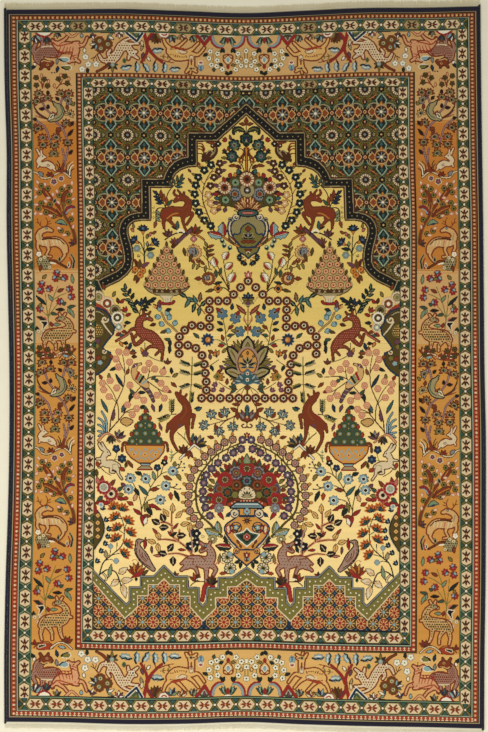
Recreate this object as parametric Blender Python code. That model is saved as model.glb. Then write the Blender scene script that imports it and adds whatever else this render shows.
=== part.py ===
"""A hand-knotted Persian rug, lying flat on a floor.

Metres, +Z up. X runs across the rug and Y along it, towards the end with the point of the arch.
The origin is under the middle of the whole rug, on the floor.
"""

import math
import random

import bmesh
import bpy
from mathutils import Matrix

# Driving sizes, as a tape would read them on a straight rug
RUG_WIDTH = 1.400  # over the two side cords
RUG_LENGTH = 2.100  # over the pile, without the fringes
BODY_THICKNESS = 0.009  # foundation and pile together
SEAM_GAP = 0.0003  # between two pieces that are sewn together

# How far each long edge of the rug runs outside a straight one, in metres
SIDE_DRIFT = (
    # share of the length from the foot, left side, right side
    {"share": 0.0, "left": 0.015, "right": 0.000},
    {"share": 0.1, "left": 0.015, "right": 0.001},
    {"share": 0.2, "left": 0.011, "right": 0.004},
    {"share": 0.3, "left": 0.004, "right": 0.005},
    {"share": 0.4, "left": 0.000, "right": 0.005},
    {"share": 0.5, "left": 0.000, "right": 0.001},
    {"share": 0.6, "left": 0.004, "right": -0.001},
    {"share": 0.7, "left": 0.008, "right": -0.003},
    {"share": 0.8, "left": 0.008, "right": -0.006},
    {"share": 0.9, "left": 0.014, "right": -0.009},
    {"share": 1.0, "left": 0.016, "right": -0.011},
)

# The same for the two ends
END_DRIFT = (
    # share of the width from the left, foot end, arch end
    {"share": 0.000, "foot": -0.007, "arch": 0.004},
    {"share": 0.125, "foot": -0.005, "arch": 0.005},
    {"share": 0.250, "foot": 0.000, "arch": 0.006},
    {"share": 0.375, "foot": -0.001, "arch": 0.000},
    {"share": 0.500, "foot": -0.006, "arch": -0.006},
    {"share": 0.625, "foot": 0.001, "arch": 0.001},
    {"share": 0.750, "foot": 0.006, "arch": 0.009},
    {"share": 0.875, "foot": 0.009, "arch": 0.010},
    {"share": 1.000, "foot": 0.013, "arch": 0.014},
)

# The rug's own edge in section: how far in from its outline, and how high
BODY_SECTION = (
    {"inset": 0.0010, "height": 0.0},
    {"inset": 0.0, "height": 0.0015},
    {"inset": 0.0002, "height": 0.0065},
    {"inset": 0.0022, "height": BODY_THICKNESS},
)
SIDE_STEPS = 40  # stations along a long edge
END_STEPS = 32  # stations along an end

# Side cords, overcast with navy wool
CORD_WIDTH = 0.0075
CORD_HEIGHT = 0.0070
CORD_SIDES = 10
CORD_OVERRUN = 0.004  # past the pile at each end

# Fringes: a narrow woven strip with cropped strands
STRIP_DEPTH = 0.0055
STRAND_COUNT = 150  # at each end
STRAND_LENGTH = 0.0175
STRAND_WIDTH = 0.0052
STRAND_TIP = 0.0034
STRAND_SWAY = 0.0016  # how far a tip leans to either side
STRAND_CROP = 0.0040  # how unevenly the tips are cropped
FRINGE_THICKNESS = 0.0024
FRINGE_INSET = 0.006  # from the side cords' outer edges
FRINGE_SEED = 7

COLOURS = {
    # linear RGB, roughness
    "wool_pile": ((0.46, 0.27, 0.09, 1.0), 0.92),
    "navy_wool": ((0.012, 0.010, 0.022, 1.0), 0.90),
    "cotton_warp": ((0.72, 0.66, 0.45, 1.0), 0.95),
}


def clear_scene():
    for thing in list(bpy.data.objects):
        bpy.data.objects.remove(thing, do_unlink=True)


def wool(name):
    """A matt material with one of the rug's colours."""
    colour, roughness = COLOURS[name]
    material = bpy.data.materials.new(name)
    material.use_nodes = True
    shader = material.node_tree.nodes["Principled BSDF"]
    shader.inputs["Base Color"].default_value = colour
    shader.inputs["Roughness"].default_value = roughness
    shader.inputs["Metallic"].default_value = 0.0
    material.diffuse_color = colour
    return material


def add_node(name, mesh, material):
    mesh.materials.append(material)
    piece = bpy.data.objects.new(name, mesh)
    bpy.context.scene.collection.objects.link(piece)
    return piece


def finish_mesh(name, builder):
    bmesh.ops.recalc_face_normals(builder, faces=builder.faces)
    mesh = bpy.data.meshes.new(name)
    builder.to_mesh(mesh)
    builder.free()
    return mesh


def smooth_read(rows, column, share):
    """The value of a column at a share from 0 to 1, on one smooth curve through the table's rows."""
    share = min(max(share, 0.0), 1.0)
    spans = len(rows) - 1
    index = min(int(share * spans), spans - 1)
    t = share * spans - index
    p = [rows[min(max(index + k, 0), spans)][column] for k in (-1, 0, 1, 2)]
    slope_in = (p[2] - p[0]) / 2
    slope_out = (p[3] - p[1]) / 2
    rise = p[2] - p[1]
    return p[1] + t * (slope_in + t * (3 * rise - 2 * slope_in - slope_out + t * (slope_in + slope_out - 2 * rise)))


def on_rug(across, along):
    """The place on the floor of a point of the rug, given as shares of its width and length."""
    left = -RUG_WIDTH / 2 - smooth_read(SIDE_DRIFT, "left", along)
    right = RUG_WIDTH / 2 + smooth_read(SIDE_DRIFT, "right", along)
    foot = -RUG_LENGTH / 2 - smooth_read(END_DRIFT, "foot", across)
    arch = RUG_LENGTH / 2 + smooth_read(END_DRIFT, "arch", across)
    return left + (right - left) * across, foot + (arch - foot) * along


def body_outline(inset):
    """Points round the knotted part, anticlockwise, this far inside its outline."""
    in_x = (CORD_WIDTH + SEAM_GAP + inset) / RUG_WIDTH
    in_y = inset / RUG_LENGTH
    shares = [(in_x + (1 - 2 * in_x) * k / END_STEPS, in_y) for k in range(END_STEPS)]
    shares += [(1 - in_x, in_y + (1 - 2 * in_y) * k / SIDE_STEPS) for k in range(SIDE_STEPS)]
    shares += [(1 - in_x - (1 - 2 * in_x) * k / END_STEPS, 1 - in_y) for k in range(END_STEPS)]
    shares += [(in_x, 1 - in_y - (1 - 2 * in_y) * k / SIDE_STEPS) for k in range(SIDE_STEPS)]
    return [on_rug(across, along) for across, along in shares]


def make_body(material):
    """The knotted rug itself: one flat slab with a soft edge and the rug's uneven outline."""
    builder = bmesh.new()
    rings = []
    for row in BODY_SECTION:
        ring = [builder.verts.new((x, y, row["height"])) for x, y in body_outline(row["inset"])]
        rings.append(ring)
    count = len(rings[0])
    for lower, upper in zip(rings, rings[1:]):
        for k in range(count):
            n = (k + 1) % count
            builder.faces.new((lower[k], lower[n], upper[n], upper[k]))
    builder.faces.new(rings[0][::-1])
    builder.faces.new(rings[-1])
    return add_node("rug_body", finish_mesh("rug_body", builder), material)


def cord_section():
    """The cord's outline round its own middle line: an oval that lies on one flat side, as (out, up)."""
    turns = [2 * math.pi * (k + 0.5) / CORD_SIDES - math.pi / 2 for k in range(CORD_SIDES)]
    flat = math.cos(math.pi / CORD_SIDES)
    return [(math.cos(t) * CORD_WIDTH / 2, (math.sin(t) / flat + 1) * CORD_HEIGHT / 2) for t in turns]


def make_cord(name, side, material):
    """A side cord along one long edge. side is 0 for the left one and 1 for the right one."""
    builder = bmesh.new()
    rings = []
    overrun = CORD_OVERRUN / RUG_LENGTH
    inward = 1 if side == 0 else -1
    for k in range(SIDE_STEPS + 1):
        along = -overrun + (1 + 2 * overrun) * k / SIDE_STEPS
        edge_x, edge_y = on_rug(side, along)
        middle = edge_x + inward * CORD_WIDTH / 2
        rings.append([builder.verts.new((middle + out, edge_y, up)) for out, up in cord_section()])
    for near, far in zip(rings, rings[1:]):
        for k in range(CORD_SIDES):
            n = (k + 1) % CORD_SIDES
            builder.faces.new((near[k], near[n], far[n], far[k]))
    builder.faces.new(rings[0][::-1])
    builder.faces.new(rings[-1])
    piece = add_node(name, finish_mesh(name, builder), material)
    piece.data.shade_smooth()
    return piece


def make_fringe(name, end, material):
    """One end's woven strip with its strands. end is 0 for the foot and 1 for the arch end."""
    chance = random.Random(FRINGE_SEED + end)
    outward = -1 if end == 0 else 1
    builder = bmesh.new()

    def place(x_share, out, sway=0.0):
        x, y = on_rug(x_share, end)
        return builder.verts.new((x + sway, y + outward * (SEAM_GAP + out), 0.0))

    first = FRINGE_INSET / RUG_WIDTH
    pitch = (1 - 2 * first) / STRAND_COUNT
    half = STRAND_WIDTH / RUG_WIDTH / 2
    half_tip = STRAND_TIP / RUG_WIDTH / 2
    shares = []
    for k in range(STRAND_COUNT):
        middle = first + pitch * (k + 0.5)
        shares += [middle - half, middle + half]
    inner = [place(share, 0.0) for share in shares]
    outer = [place(share, STRIP_DEPTH) for share in shares]
    for k in range(len(shares) - 1):
        builder.faces.new((inner[k], inner[k + 1], outer[k + 1], outer[k]))
    for k in range(STRAND_COUNT):
        middle = first + pitch * (k + 0.5)
        reach = STRIP_DEPTH + STRAND_LENGTH - chance.random() * STRAND_CROP
        sway = STRAND_SWAY * (2 * chance.random() - 1)
        tip_left = place(middle - half_tip, reach, sway)
        tip_right = place(middle + half_tip, reach, sway)
        builder.faces.new((outer[2 * k], outer[2 * k + 1], tip_right, tip_left))
    raised = bmesh.ops.extrude_face_region(builder, geom=list(builder.faces))["geom"]
    for corner in raised:
        if isinstance(corner, bmesh.types.BMVert):
            corner.co.z = FRINGE_THICKNESS
    return add_node(name, finish_mesh(name, builder), material)


def centre_on_origin(pieces):
    """Moves every piece's mesh alike, until the origin is under the middle of them all."""
    corners = [corner.co for piece in pieces for corner in piece.data.vertices]
    middle_x = (min(c.x for c in corners) + max(c.x for c in corners)) / 2
    middle_y = (min(c.y for c in corners) + max(c.y for c in corners)) / 2
    for piece in pieces:
        piece.data.transform(Matrix.Translation((-middle_x, -middle_y, 0.0)))


def main():
    clear_scene()
    pile = wool("wool_pile")
    navy = wool("navy_wool")
    cotton = wool("cotton_warp")
    pieces = [
        make_body(pile),
        make_cord("side_cord_left", 0, navy),
        make_cord("side_cord_right", 1, navy),
        make_fringe("fringe_foot", 0, cotton),
        make_fringe("fringe_arch", 1, cotton),
    ]
    centre_on_origin(pieces)


main()
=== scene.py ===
import math

import bpy
import numpy as np
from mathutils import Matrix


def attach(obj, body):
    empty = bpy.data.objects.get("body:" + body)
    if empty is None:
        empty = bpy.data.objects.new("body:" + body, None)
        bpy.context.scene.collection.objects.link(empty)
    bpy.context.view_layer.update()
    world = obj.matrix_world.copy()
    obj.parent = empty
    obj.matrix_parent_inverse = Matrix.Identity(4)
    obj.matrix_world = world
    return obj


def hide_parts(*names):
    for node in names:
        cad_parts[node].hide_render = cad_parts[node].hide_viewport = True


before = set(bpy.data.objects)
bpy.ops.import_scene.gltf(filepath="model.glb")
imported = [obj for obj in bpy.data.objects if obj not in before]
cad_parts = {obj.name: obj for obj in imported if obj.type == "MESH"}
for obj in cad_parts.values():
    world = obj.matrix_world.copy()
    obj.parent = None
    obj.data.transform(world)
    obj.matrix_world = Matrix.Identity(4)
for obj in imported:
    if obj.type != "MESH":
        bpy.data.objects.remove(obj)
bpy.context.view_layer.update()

# the rug's measures and its uneven edges, in metres

rug = {
    "width": 1.400,  # over the side cords
    "length": 2.100,  # over the pile
    "thick": 0.009,
    "middle": (-0.0053448, 0.0000237),  # where the straight rug's middle lies from the origin
    "cordWide": 0.0075,
    "cordHigh": 0.0070,
    "gap": 0.0003,
    "left": (0.015, 0.015, 0.011, 0.004, 0.0, 0.0, 0.004, 0.008, 0.008, 0.014, 0.016),
    "right": (0.0, 0.001, 0.004, 0.005, 0.005, 0.001, -0.001, -0.003, -0.006, -0.009, -0.011),
    "foot": (-0.007, -0.005, 0.0, -0.001, -0.006, 0.001, 0.006, 0.009, 0.013),
    "arch": (0.004, 0.005, 0.006, 0.0, -0.006, 0.001, 0.009, 0.010, 0.014),
    # how far the pattern's middle line lies right of the rug's own middle, from foot to head
    "shift": (0.0062, 0.0063, 0.0031, 0.0002, -0.0021, 0.0017, 0.0065, 0.0095, 0.0060, 0.0099, 0.0110),
}


def smoothRead(row, share):
    # a value from one smooth curve through the row, for an array of shares from 0 to 1
    row = np.asarray(row, float)
    spans = len(row) - 1
    share = np.clip(np.asarray(share, float), 0, 1)
    index = np.minimum((share * spans).astype(int), spans - 1)
    t = share * spans - index
    before, start, end, after = (row[np.clip(index + k, 0, spans)] for k in (-1, 0, 1, 2))
    slopeIn, slopeOut, rise = (end - before) / 2, (after - start) / 2, end - start
    return start + t * (slopeIn + t * (3 * rise - 2 * slopeIn - slopeOut + t * (slopeIn + slopeOut - 2 * rise)))


def onRug(across, along):
    # places on the floor for shares of the rug's width and length
    left = -rug["width"] / 2 - smoothRead(rug["left"], along)
    right = rug["width"] / 2 + smoothRead(rug["right"], along)
    foot = -rug["length"] / 2 - smoothRead(rug["foot"], across)
    arch = rug["length"] / 2 + smoothRead(rug["arch"], across)
    shift = smoothRead(rug["shift"], along) * (1 - (2 * np.asarray(across) - 1) ** 4)
    x = left + (right - left) * across + shift
    y = foot + (arch - foot) * along
    return x - rug["middle"][0], y - rug["middle"][1]


def insetShares(inset):
    # what lies outside the pile at this inset, in shares of the rug's width and length
    return (rug["cordWide"] + rug["gap"] + inset) / rug["width"], inset / rug["length"]


# wool

# one lot of dyed wool for each name, as the eye sees it on the finished rug
wools = {
    "navy": "211d2b", "black": "1a1610", "bottle": "1c271d", "green": "34503a", "sage": "778c66",
    "paleGreen": "9fa98a", "olive": "514218", "moss": "786d30", "brown": "4c270e", "rust": "84411a",
    "brick": "9e391d", "red": "94231f", "rose": "b96857", "peach": "d69a68", "cream": "dcc497",
    "ivory": "ebdfbf", "fieldHigh": "e8c76c", "fieldMid": "f6d486", "fieldLow": "fddc8f",
    "tan": "d2a465", "orange": "c47b2e", "amber": "d0903f", "gold": "dcab60", "skyBlue": "8aa29c",
    "blue": "566f7c", "deepBlue": "202f41", "teal": "375a53", "grey": "7f7f76", "plum": "653f49",
    "dusk": "a6826b", "khaki": "9f8e60", "hide": "7a3516",
}
woolNames = list(wools)
wool = {name: k for k, name in enumerate(woolNames)}


# the chart: one knot is half a square, and a square is 2.944 mm of rug

# x is counted in squares from the rug's middle line, y in squares down the chart's paper
paper = {"left": -235.0, "wide": 470, "top": 10.65, "high": 714, "outer": 237.75, "head": 11.0, "foot": 724.3}


def smoothPath(points, closed=False):
    # more points on one smooth curve through these; any third value goes along
    p = np.asarray(points, float)
    n = len(p)
    if n < 3 and not closed:
        return p
    t = np.array([0, 0.25, 0.5, 0.75])[:, None]
    out = []
    for k in range(n if closed else n - 1):
        if closed:
            a, b, c, d = (p[(k + j) % n] for j in (-1, 0, 1, 2))
        else:
            a, b, c, d = (p[min(max(k + j, 0), n - 1)] for j in (-1, 0, 1, 2))
        out.append(b + 0.5 * t * (c - a + t * (2 * a - 5 * b + 4 * c - d + t * (3 * (b - c) + d - a))))
    if not closed:
        out.append(p[-1:])
    return np.concatenate(out)


class Chart:
    # the knots of the rug's left half; the right half is its mirror image
    def __init__(self):
        columns, rows = paper["wide"], paper["high"] * 2
        self.x = paper["left"] + (np.arange(columns) + 0.5) / 2
        self.y = paper["top"] + (np.arange(rows) + 0.5) / 2
        self.knots = np.full((rows, columns), wool["navy"], np.uint8)
        self.inside = None  # a mask that later shapes keep within

    def window(self, x0, x1, y0, y1):
        i0, i1 = np.searchsorted(self.x, (x0 - 1, x1 + 1))
        j0, j1 = np.searchsorted(self.y, (y0 - 1, y1 + 1))
        return slice(j0, j1), slice(i0, i1)

    def places(self, win):
        return self.x[win[1]][None, :], self.y[win[0]][:, None]

    def lay(self, win, distance, colour, edge=None, edgeWide=0.55):
        # an outline is laid first, and a little wider than asked, so that it shows between two colours
        part = self.knots[win]
        free = True if self.inside is None else self.inside[win]
        if edge:
            part[(distance < edgeWide * 1.3) & free] = wool[edge]
        if colour:
            part[(distance < 0) & free] = wool[colour]

    def box(self, x0, x1, y0, y1, colour):
        win = self.window(x0, x1, y0, y1)
        x, y = self.places(win)
        self.lay(win, np.where((x > x0) & (x < x1) & (y > y0) & (y < y1), -1.0, 1.0), colour)

    def shade(self, x0, x1, y1, *lots, blend=4):
        # each new lot of wool comes in row by row, as a weaver brings it
        for k, (top, colour) in enumerate(lots):
            self.box(x0, x1, top, y1, colour)
            for row in np.flatnonzero((self.y > top) & (self.y < top + blend)) if k else ():
                if row % 5 == 1 or row % 7 == 2:
                    self.knots[row, self.window(x0 + 1, x1 - 1, 0, 0)[1]] = wool[lots[k - 1][1]]


def fromLine(x, y, ax, ay, bx, by):
    # how far each knot is from the line a to b, and at what share of the line
    dx, dy = bx - ax, by - ay
    t = np.clip(((x - ax) * dx + (y - ay) * dy) / max(dx * dx + dy * dy, 1e-9), 0, 1)
    return np.hypot(x - ax - t * dx, y - ay - t * dy), t


def limbDistance(x, y, points):
    # how far each knot is from a limb that follows points of (x, y, thickness from its middle)
    best = np.full(np.broadcast(x, y).shape, 99.0)
    for (ax, ay, ar), (bx, by, br) in zip(points, points[1:]):
        far, t = fromLine(x, y, ax, ay, bx, by)
        best = np.minimum(best, far - (ar + t * (br - ar)))
    return best


def outlineDistance(x, y, points):
    # the same from a closed outline, less than nothing inside it
    best = np.full(np.broadcast(x, y).shape, 99.0)
    within = np.zeros(best.shape, bool)
    for (ax, ay), (bx, by) in zip(points, np.roll(points, -1, axis=0)):
        best = np.minimum(best, fromLine(x, y, ax, ay, bx, by)[0])
        if ay != by:
            within ^= ((ay > y) != (by > y)) & (x < ax + (y - ay) * (bx - ax) / (by - ay))
    return np.where(within, -best, best)


class Pen:
    # draws on the chart round one place, turned clockwise in degrees, at any size
    def __init__(self, chart, x=0.0, y=0.0, size=1.0, turn=0.0, flip=False):
        self.chart, self.x, self.y, self.size, self.turn, self.flip = chart, x, y, size, turn, flip

    def at(self, x, y, size=1.0, turn=0.0):
        # another pen, placed from this one
        place = self.moved([(x, y)])[0]
        turned = -turn if self.flip else turn
        return Pen(self.chart, place[0], place[1], self.size * size, self.turn + turned, self.flip)

    def moved(self, points):
        p = np.array(points, float)
        if self.flip:
            p[:, 0] = -p[:, 0]
        c, s = math.cos(math.radians(self.turn)), math.sin(math.radians(self.turn))
        out = p * self.size
        out[:, 0] = self.x + self.size * (c * p[:, 0] - s * p[:, 1])
        out[:, 1] = self.y + self.size * (s * p[:, 0] + c * p[:, 1])
        return out

    def field(self, measure, shapes, room):
        low = np.min([s[:, :2].min(0) for s in shapes], 0) - room
        high = np.max([s[:, :2].max(0) for s in shapes], 0) + room
        win = self.chart.window(low[0], high[0], low[1], high[1])
        x, y = self.chart.places(win)
        if x.size == 0 or y.size == 0:
            return win, np.ones((y.size, x.size))
        return win, np.minimum.reduce([measure(x, y, s) for s in shapes])

    def limbs(self, limbs, colour, edge=None, edgeWide=0.55, smooth=True):
        # limbs of one body, under one outline
        shapes = [self.moved(smoothPath(limb) if smooth else limb) for limb in limbs]
        room = max(s[:, 2].max() for s in shapes) + 1
        win, distance = self.field(limbDistance, shapes, room)
        self.chart.lay(win, distance, colour, edge, edgeWide)
        return win, distance

    def stem(self, points, colour, wide=1.0, tip=None, edge=None):
        # an even or tapering line through the points
        tip = wide if tip is None else tip
        n = len(points) - 1
        limb = [(x, y, (wide + (tip - wide) * k / n) / 2) for k, (x, y) in enumerate(points)]
        return self.limbs([limb], colour, edge)

    def line(self, points, colour, wide=1.0, edge=None):
        return self.limbs([[(x, y, wide / 2) for x, y in points]], colour, edge, smooth=False)

    def shape(self, points, colour, edge=None, edgeWide=0.55, smooth=False):
        p = self.moved(smoothPath(points, closed=True) if smooth else points)
        win, distance = self.field(outlineDistance, [p], 1)
        self.chart.lay(win, distance, colour, edge, edgeWide)
        return win, distance

    def blob(self, points, colour, edge=None, edgeWide=0.55):
        return self.shape(points, colour, edge, edgeWide, smooth=True)

    def disc(self, x, y, r, colour, edge=None, edgeWide=0.55):
        return self.limbs([[(x, y, r), (x + 0.01, y, r)]], colour, edge, edgeWide, smooth=False)

    def oval(self, x, y, rx, ry, colour, edge=None, edgeWide=0.55):
        ring = [(x + rx * math.cos(a), y + ry * math.sin(a)) for a in np.linspace(0, 2 * math.pi, 16, False)]
        return self.shape(ring, colour, edge, edgeWide)

    def petals(self, x, y, r, count, colour, edge, depth=0.2, start=0.0, edgeWide=0.55):
        # a round flower whose rim is scalloped
        centre = self.moved([(x, y)])[0]
        reach = r * self.size
        win = self.chart.window(centre[0] - reach, centre[0] + reach, centre[1] - reach, centre[1] + reach)
        px, py = self.chart.places(win)
        angle = np.arctan2(py - centre[1], px - centre[0]) - math.radians(self.turn + start)
        rim = reach * (1 - depth * (1 - np.abs(np.cos(angle * count / 2))))
        distance = np.hypot(px - centre[0], py - centre[1]) - rim
        self.chart.lay(win, distance, colour, edge, edgeWide)
        return win, distance

    def fleck(self, region, colour, pitch, dot, inset):
        # small even flecks inside a shape that was just drawn
        win, distance = region
        x, y = self.chart.places(win)
        row = np.floor(y / pitch)
        u = (x + (row % 2) * pitch / 2) % pitch - pitch / 2
        v = y % pitch - pitch / 2
        spots = np.maximum(np.abs(u), np.abs(v)) < dot
        self.chart.lay(win, np.where(spots & (distance < -inset), -1.0, 1.0), colour)


# borders

# each stripe's reach, in squares in from the rug's edge: at the sides, at the head and at the foot
stripes = {
    "creamLine": ((4.4, 5.2), (3.5, 4.3), (3.6, 4.6)),
    "outerGuard": ((6.4, 11.3), (5.2, 9.2), (5.4, 9.6)),
    "outerPale": ((11.9, 12.8), (9.5, 10.2), (10.1, 11.1)),
    "outerStripe": ((14.0, 24.2), (11.2, 20.6), (11.6, 22.6)),
    "mainPale": ((24.9, 25.5), (21.4, 22.0), (23.6, 24.5)),
    "main": ((25.5, 68.3), (22.0, 62.6), (25.4, 72.4)),
    "mainInner": ((68.3, 69.0), (62.6, 63.0), (72.4, 73.5)),
    "innerGuard": ((69.6, 73.7), (63.3, 67.1), (74.2, 78.3)),
    "innerPale": ((74.4, 75.4), (67.5, 68.3), (79.0, 80.4)),
    "innerStripe": ((76.3, 85.0), (69.0, 77.0), (82.0, 92.4)),
    "field": ((86.0, 240.0), (78.4, 400.0), (94.3, 400.0)),
}

guard = {
    "beadPitch": (3.75, 4.4),  # at the head and at the foot
    "endPitch": 4.3,
    "brickFrom": 330.0,  # how far down another lot of red wool begins
}

starStripe = {
    "pitch": (19.6, 24.0),  # from one hexagon to the next, at the head and at the foot
    "endPitch": 20.8,
    "tealFrom": 540,
    "sageFrom": 560,
}

grounds = {  # how far down each new lot of wool begins
    "main": ((122, "orange"), (270, "tan"), (344, "amber")),
    "field": ((330, "fieldMid"), (425, "fieldLow")),
    "fieldBlend": 22,
}


def bandBox(name, edge):
    # the rectangle of a stripe's outer (0) or inner (1) edge: left x, top y, bottom y
    side, head, foot = (stripes[name][k][edge] for k in range(3))
    return -paper["outer"] + side, paper["head"] + head, paper["foot"] - foot


def layFrame(chart, name, colour):
    x0, y0, y1 = bandBox(name, 0)
    x1, y2, y3 = bandBox(name, 1)
    chart.box(x0, x1, y0, y1, colour)
    chart.box(x0, 5, y0, y2, colour)
    chart.box(x0, 5, y3, y1, colour)


def stations(start, end, near, far):
    # places from start to end whose pitch grows from near to far, most of it late
    count = max(1, round((end - start) / (near + (far - near) / 3)))
    s = np.linspace(0, 1, count + 1)
    growth = (near * s + (far - near) * s ** 3 / 3) / (near + (far - near) / 3)
    return start + (end - start) * growth


def guardKnot(pen, dark, light, low):
    # one light bead of a guard stripe; low ones are a bead over a short bar
    if low:
        pen.disc(0, -0.9, 0.85, light)
        pen.line([(-1.0, 1.35), (1.0, 1.35)], light, 0.9)
        pen.line([(0, -0.6), (0, 1.2)], light, 0.6)
    else:
        pen.oval(0, 0, 1.25, 1.15, light)
        pen.line([(-0.9, 1.9), (1.2, 1.9)], dark, 1.1)


def layGuard(chart, name):
    # a guard stripe of light beads on rust, which turns brick red lower down
    x0, y0, y1 = bandBox(name, 0)
    x1, y2, y3 = bandBox(name, 1)
    change = guard["brickFrom"]
    layFrame(chart, name, "rust")
    chart.box(x0, x1, change, y1, "brick")
    chart.box(x0, 5, y3, y1, "brick")
    for y in stations(y0 + 2, y1 - 2, *guard["beadPitch"]):
        guardKnot(Pen(chart, (x0 + x1) / 2, y), "brown" if y < change else "hide",
                  "peach" if y < change or round(y) % 3 else "cream", False)
    for x in np.arange(-2.2, x0 + 3, -guard["endPitch"]):
        guardKnot(Pen(chart, x, (y0 + y2) / 2, 1, 90), "brown", "peach" if round(x) % 3 else "gold", False)
        guardKnot(Pen(chart, x, (y3 + y1) / 2), "brown", "cream", True)


def hexStar(pen, long, deep, cloth, star, pointed=False):
    # a long hexagon with an eight-armed star, along the pen's own x
    tip, flat, high = (0.40, 0.235, 0.47) if pointed else (0.37, 0.26, 0.48)
    tip, flat, high = tip * long, flat * long, high * deep
    pen.shape([(-tip, 0), (-flat, -high), (flat, -high), (tip, 0), (flat, high), (-flat, high)], cloth, "olive", 0.8)
    arm = min(0.68 * high, 3.3)
    pen.line([(-0.2 * long, 0), (0.2 * long, 0)], star, 1.9)
    for side in (-1, 1):
        for tall in (-1, 1):
            pen.stem([(side * 0.6, 0), (side * 0.09 * long, tall * arm * 0.5), (side * 0.165 * long, tall * arm)], star,
                     2.1, 1.5)
            pen.line([(side * 0.255 * long, tall * 0.3), (side * 0.29 * long, tall * 1.0)], "peach", 0.8)
    pen.shape([(-1.1, 0), (0, -0.8), (1.1, 0), (0, 0.8)], "peach")


def crossing(pen, deep, bar, drop):
    # two crossed bars with a bead, between two hexagons
    high = deep / 2
    reach = high * 0.9
    for side in (-1, 1):
        pen.line([(-reach, -side * high), (reach, side * high)], "olive", 2.0)
    for side in (-1, 1):
        pen.line([(-reach, -side * high), (reach, side * high)], bar, 1.1)
        pen.shape([(-2.5, side * high), (2.5, side * high), (0, side * high * 0.36)], drop, "bottle", 0.5)
    pen.disc(0, 0, 1.1, "ivory", "brown", 0.5)


def layStarStripe(chart, name):
    # hexagons with stars in them on green, which turns bluer lower down, and crossings between them
    x0, y0, y1 = bandBox(name, 0)
    x1, y2, y3 = bandBox(name, 1)
    layFrame(chart, name, "green")
    chart.box(x0, x1, starStripe["tealFrom"], y1, "teal")
    chart.box(x0, 5, y3, y1, "moss")
    middle, head, foot = (x0 + x1) / 2, (y0 + y2) / 2, (y3 + y1) / 2
    rows = stations(head, foot, *starStripe["pitch"])
    halves = round(-middle / starStripe["endPitch"] - 0.5) + 0.5  # so that a hexagon stands on the middle line
    pitch = -middle / halves
    for y in rows:
        crossing(Pen(chart, middle, y, turn=90), x1 - x0, "moss" if y < starStripe["sageFrom"] else "sage", "green")
    for a, b in zip(rows, rows[1:]):
        hexStar(Pen(chart, middle, (a + b) / 2, turn=90), b - a, x1 - x0, "cream", "brown")
    for k in range(int(halves) + 1):
        x = -k * pitch
        hexStar(Pen(chart, x, head), pitch, y2 - y0, "khaki" if k % 5 == 3 else "cream", "brown", True)
        hexStar(Pen(chart, x, foot), pitch, y1 - y3, "cream", "hide", True)
        crossing(Pen(chart, x - pitch / 2, head), y2 - y0, "moss", "teal")
        crossing(Pen(chart, x - pitch / 2, foot), y1 - y3, "moss", "teal")


def layBorders(chart):
    # from the rug's edge in to the field
    x0, y0, y1 = bandBox("creamLine", 0)
    chart.box(x0, 5, y0, y1, "black")
    layFrame(chart, "creamLine", "khaki")
    layGuard(chart, "outerGuard")
    layFrame(chart, "outerPale", "paleGreen")
    layStarStripe(chart, "outerStripe")
    layFrame(chart, "mainPale", "sage")
    x0, y0, y1 = bandBox("main", 0)
    x1, y2, y3 = bandBox("main", 1)
    chart.shade(x0, x1, 655, (y0, "tan"), *grounds["main"])
    chart.box(x0, 5, y0, y2, "tan")
    chart.box(x0, 5, y3, y1, "gold")
    layFrame(chart, "mainInner", "olive")
    layGuard(chart, "innerGuard")
    layFrame(chart, "innerPale", "paleGreen")
    x0, y0, y1 = bandBox("innerPale", 1)
    chart.box(x0, 5, y0, y1, "black")
    layStarStripe(chart, "innerStripe")
    x0, y0, y1 = bandBox("field", 0)
    chart.shade(x0, 5, y1, (y0, "fieldHigh"), *grounds["field"], blend=grounds["fieldBlend"])


# small motifs, each drawn upright from the pen's own place

def leaf(pen, long, wide, colour, edge=None, vein=None):
    half = wide / 2
    pen.shape([(0, 0), (-half * 0.9, -long * 0.35), (-half * 0.7, -long * 0.7), (0, -long),
               (half * 0.8, -long * 0.62), (half, -long * 0.3)], colour, edge)
    if vein:
        pen.line([(0, -long * 0.1), (0, -long * 0.75)], vein, 0.6)


def fan(pen, y, turns, long, wide, colour, edge=None):
    # leaves that spread from one point
    for turn in turns:
        leaf(pen.at(0, y, 1, turn), long, wide, colour, edge)


def spokes(pen, count, near, far, colours, wide, first=0.0):
    # lines that run out all round, in these colours by turns
    for k in range(int(count)):
        a = 2 * math.pi * (k + first) / count
        pen.line([(near * math.cos(a), near * math.sin(a)), (far * math.cos(a), far * math.sin(a))],
                 colours[k % len(colours)], wide)


def floret(pen, r, petal, heart, edge="black", count=5, ring=None):
    pen.petals(0, 0, r, count, petal, edge, 0.28, 90)
    if ring:
        pen.disc(0, 0, r * 0.52, ring)
    pen.disc(0, 0, max(0.6, r * 0.26), heart)


def daisy(pen, r, petal, ring, heart, count, edge):
    pen.disc(0, 0, r, petal, edge)
    spokes(pen, count, r * 0.62, r, [ring], 0.7)
    pen.disc(0, 0, r * 0.62, ring)
    pen.disc(0, 0, r * 0.36, heart, edge, 0.4)


def tulip(pen, r, petal, heart, edge, cup):
    # a bud of three points on a small cup
    pen.shape([(0, 0), (-r * 0.75, -r * 0.45), (-r * 0.95, -r * 1.45), (-r * 0.35, -r * 1.0), (0, -r * 1.8),
               (r * 0.35, -r * 1.0), (r * 0.95, -r * 1.45), (r * 0.75, -r * 0.45)], petal, edge)
    if heart:
        pen.line([(0, -r * 0.4), (0, -r * 1.1)], heart, r * 0.3)
    if cup:
        pen.disc(0, 0, r * 0.32, cup)


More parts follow.
